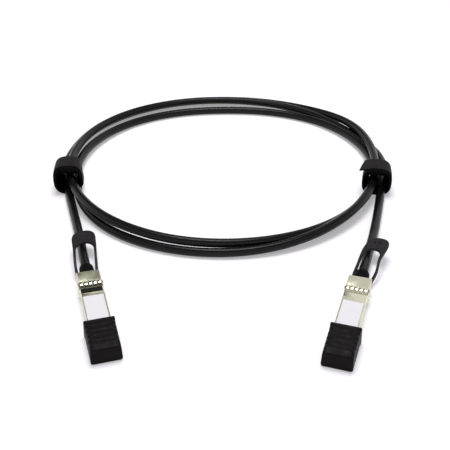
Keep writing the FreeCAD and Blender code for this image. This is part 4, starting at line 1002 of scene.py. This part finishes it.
class CABLE_OT_shells(bpy.types.Operator):
    """Cast shells, labels and screws"""
    bl_idname = "cable.shells"
    bl_label = "Shells"

    def execute(self, context):
        settings = context.scene.cable_model.plug
        cast = finish("Plated casting", settings.casting, roughness=0.34, metallic=1.0,
                      darker=0.88, rough_spread=0.06, bump=0.1, fineness=0.6)
        paper = finish("Label paper", settings.paper, roughness=0.5, darker=0.97, bump=0.05,
                       smudge_size=0.8)
        steel = finish("Screw steel", (0.55, 0.55, 0.54), roughness=0.3, metallic=1.0)
        for side in SIDES:
            refined(side + "_top_housing", ROOT, cast, 0.14)
            refined(side + "_bottom_housing", ROOT, cast, 0.14)
            finish_node(side + "_label", paper)
            finish_node(side + "_housing_screw", steel)
        return {"FINISHED"}


class CABLE_OT_boards(bpy.types.Operator):
    """Circuit boards, contacts, conductor pairs and crimp sleeves"""
    bl_idname = "cable.boards"
    bl_label = "Boards and wires"

    def execute(self, context):
        finishes = {
            "paddle_card": finish("Board mask", (0.02, 0.16, 0.06), roughness=0.3, coat=0.4,
                                  fineness=0.5),
            "contact_pads": finish("Gilt", (0.95, 0.70, 0.28), roughness=0.2, metallic=1.0),
            "wire_pairs": finish("Pair foil", (0.62, 0.64, 0.68), roughness=0.3, metallic=1.0,
                                 bump=0.5, fineness=0.3),
            "crimp_ferrule": finish("Tinned brass", (0.72, 0.68, 0.56), roughness=0.3,
                                    metallic=1.0),
        }
        for side in SIDES:
            for node, item in finishes.items():
                finish_node(side + "_" + node, item)
        return {"FINISHED"}


class CABLE_OT_latches(bpy.types.Operator):
    """Release sliders, latch levers, pins and springs under the plugs"""
    bl_idname = "cable.latches"
    bl_label = "Latches"

    def execute(self, context):
        steel = finish("Stamped steel", (0.56, 0.56, 0.55), roughness=0.3, metallic=1.0,
                       bump=0.08)
        for side in SIDES:
            refined(side + "_release_slider", side + "_release", steel, 0.08)
            refined(side + "_latch_lever", side + "_latch", steel, 0.08)
            finish_node(side + "_latch_pin", steel)
            finish_node(side + "_latch_spring", steel)
        return {"FINISHED"}


# ---------------------------------------------------------------- panel and registration
class CABLE_PT_panel(bpy.types.Panel):
    """Lists the makers of the cable's pieces"""
    bl_label = "Direct attach cable"
    bl_idname = "CABLE_PT_panel"
    bl_space_type = "VIEW_3D"
    bl_region_type = "UI"
    bl_category = "Cable"

    def draw(self, context):
        for maker in MAKERS:
            self.layout.operator(maker.bl_idname)
        model = context.scene.cable_model
        for part in (model.stage, model.cable, model.plug):
            for name in part.__annotations__:
                self.layout.prop(part, name)


MAKERS = (CABLE_OT_stage, CABLE_OT_cable, CABLE_OT_ties, CABLE_OT_boots, CABLE_OT_caps,
          CABLE_OT_tabs, CABLE_OT_collars, CABLE_OT_shells, CABLE_OT_boards, CABLE_OT_latches)
CLASSES = (StageSettings, CableSettings, PlugSettings, CableModelSettings) + MAKERS + (
    CABLE_PT_panel,)


def register():
    for item in CLASSES:
        bpy.utils.register_class(item)
    bpy.types.Scene.cable_model = PointerProperty(type=CableModelSettings)


def unregister():
    del bpy.types.Scene.cable_model
    for item in reversed(CLASSES):
        bpy.utils.unregister_class(item)


def main():
    """Makes every piece."""
    register()
    bpy.ops.cable.stage()
    bpy.ops.cable.cable()
    bpy.ops.cable.ties()
    bpy.ops.cable.boots()
    bpy.ops.cable.caps()
    bpy.ops.cable.tabs()
    bpy.ops.cable.collars()
    bpy.ops.cable.shells()
    bpy.ops.cable.boards()
    bpy.ops.cable.latches()


if __name__ == "__main__":
    main()
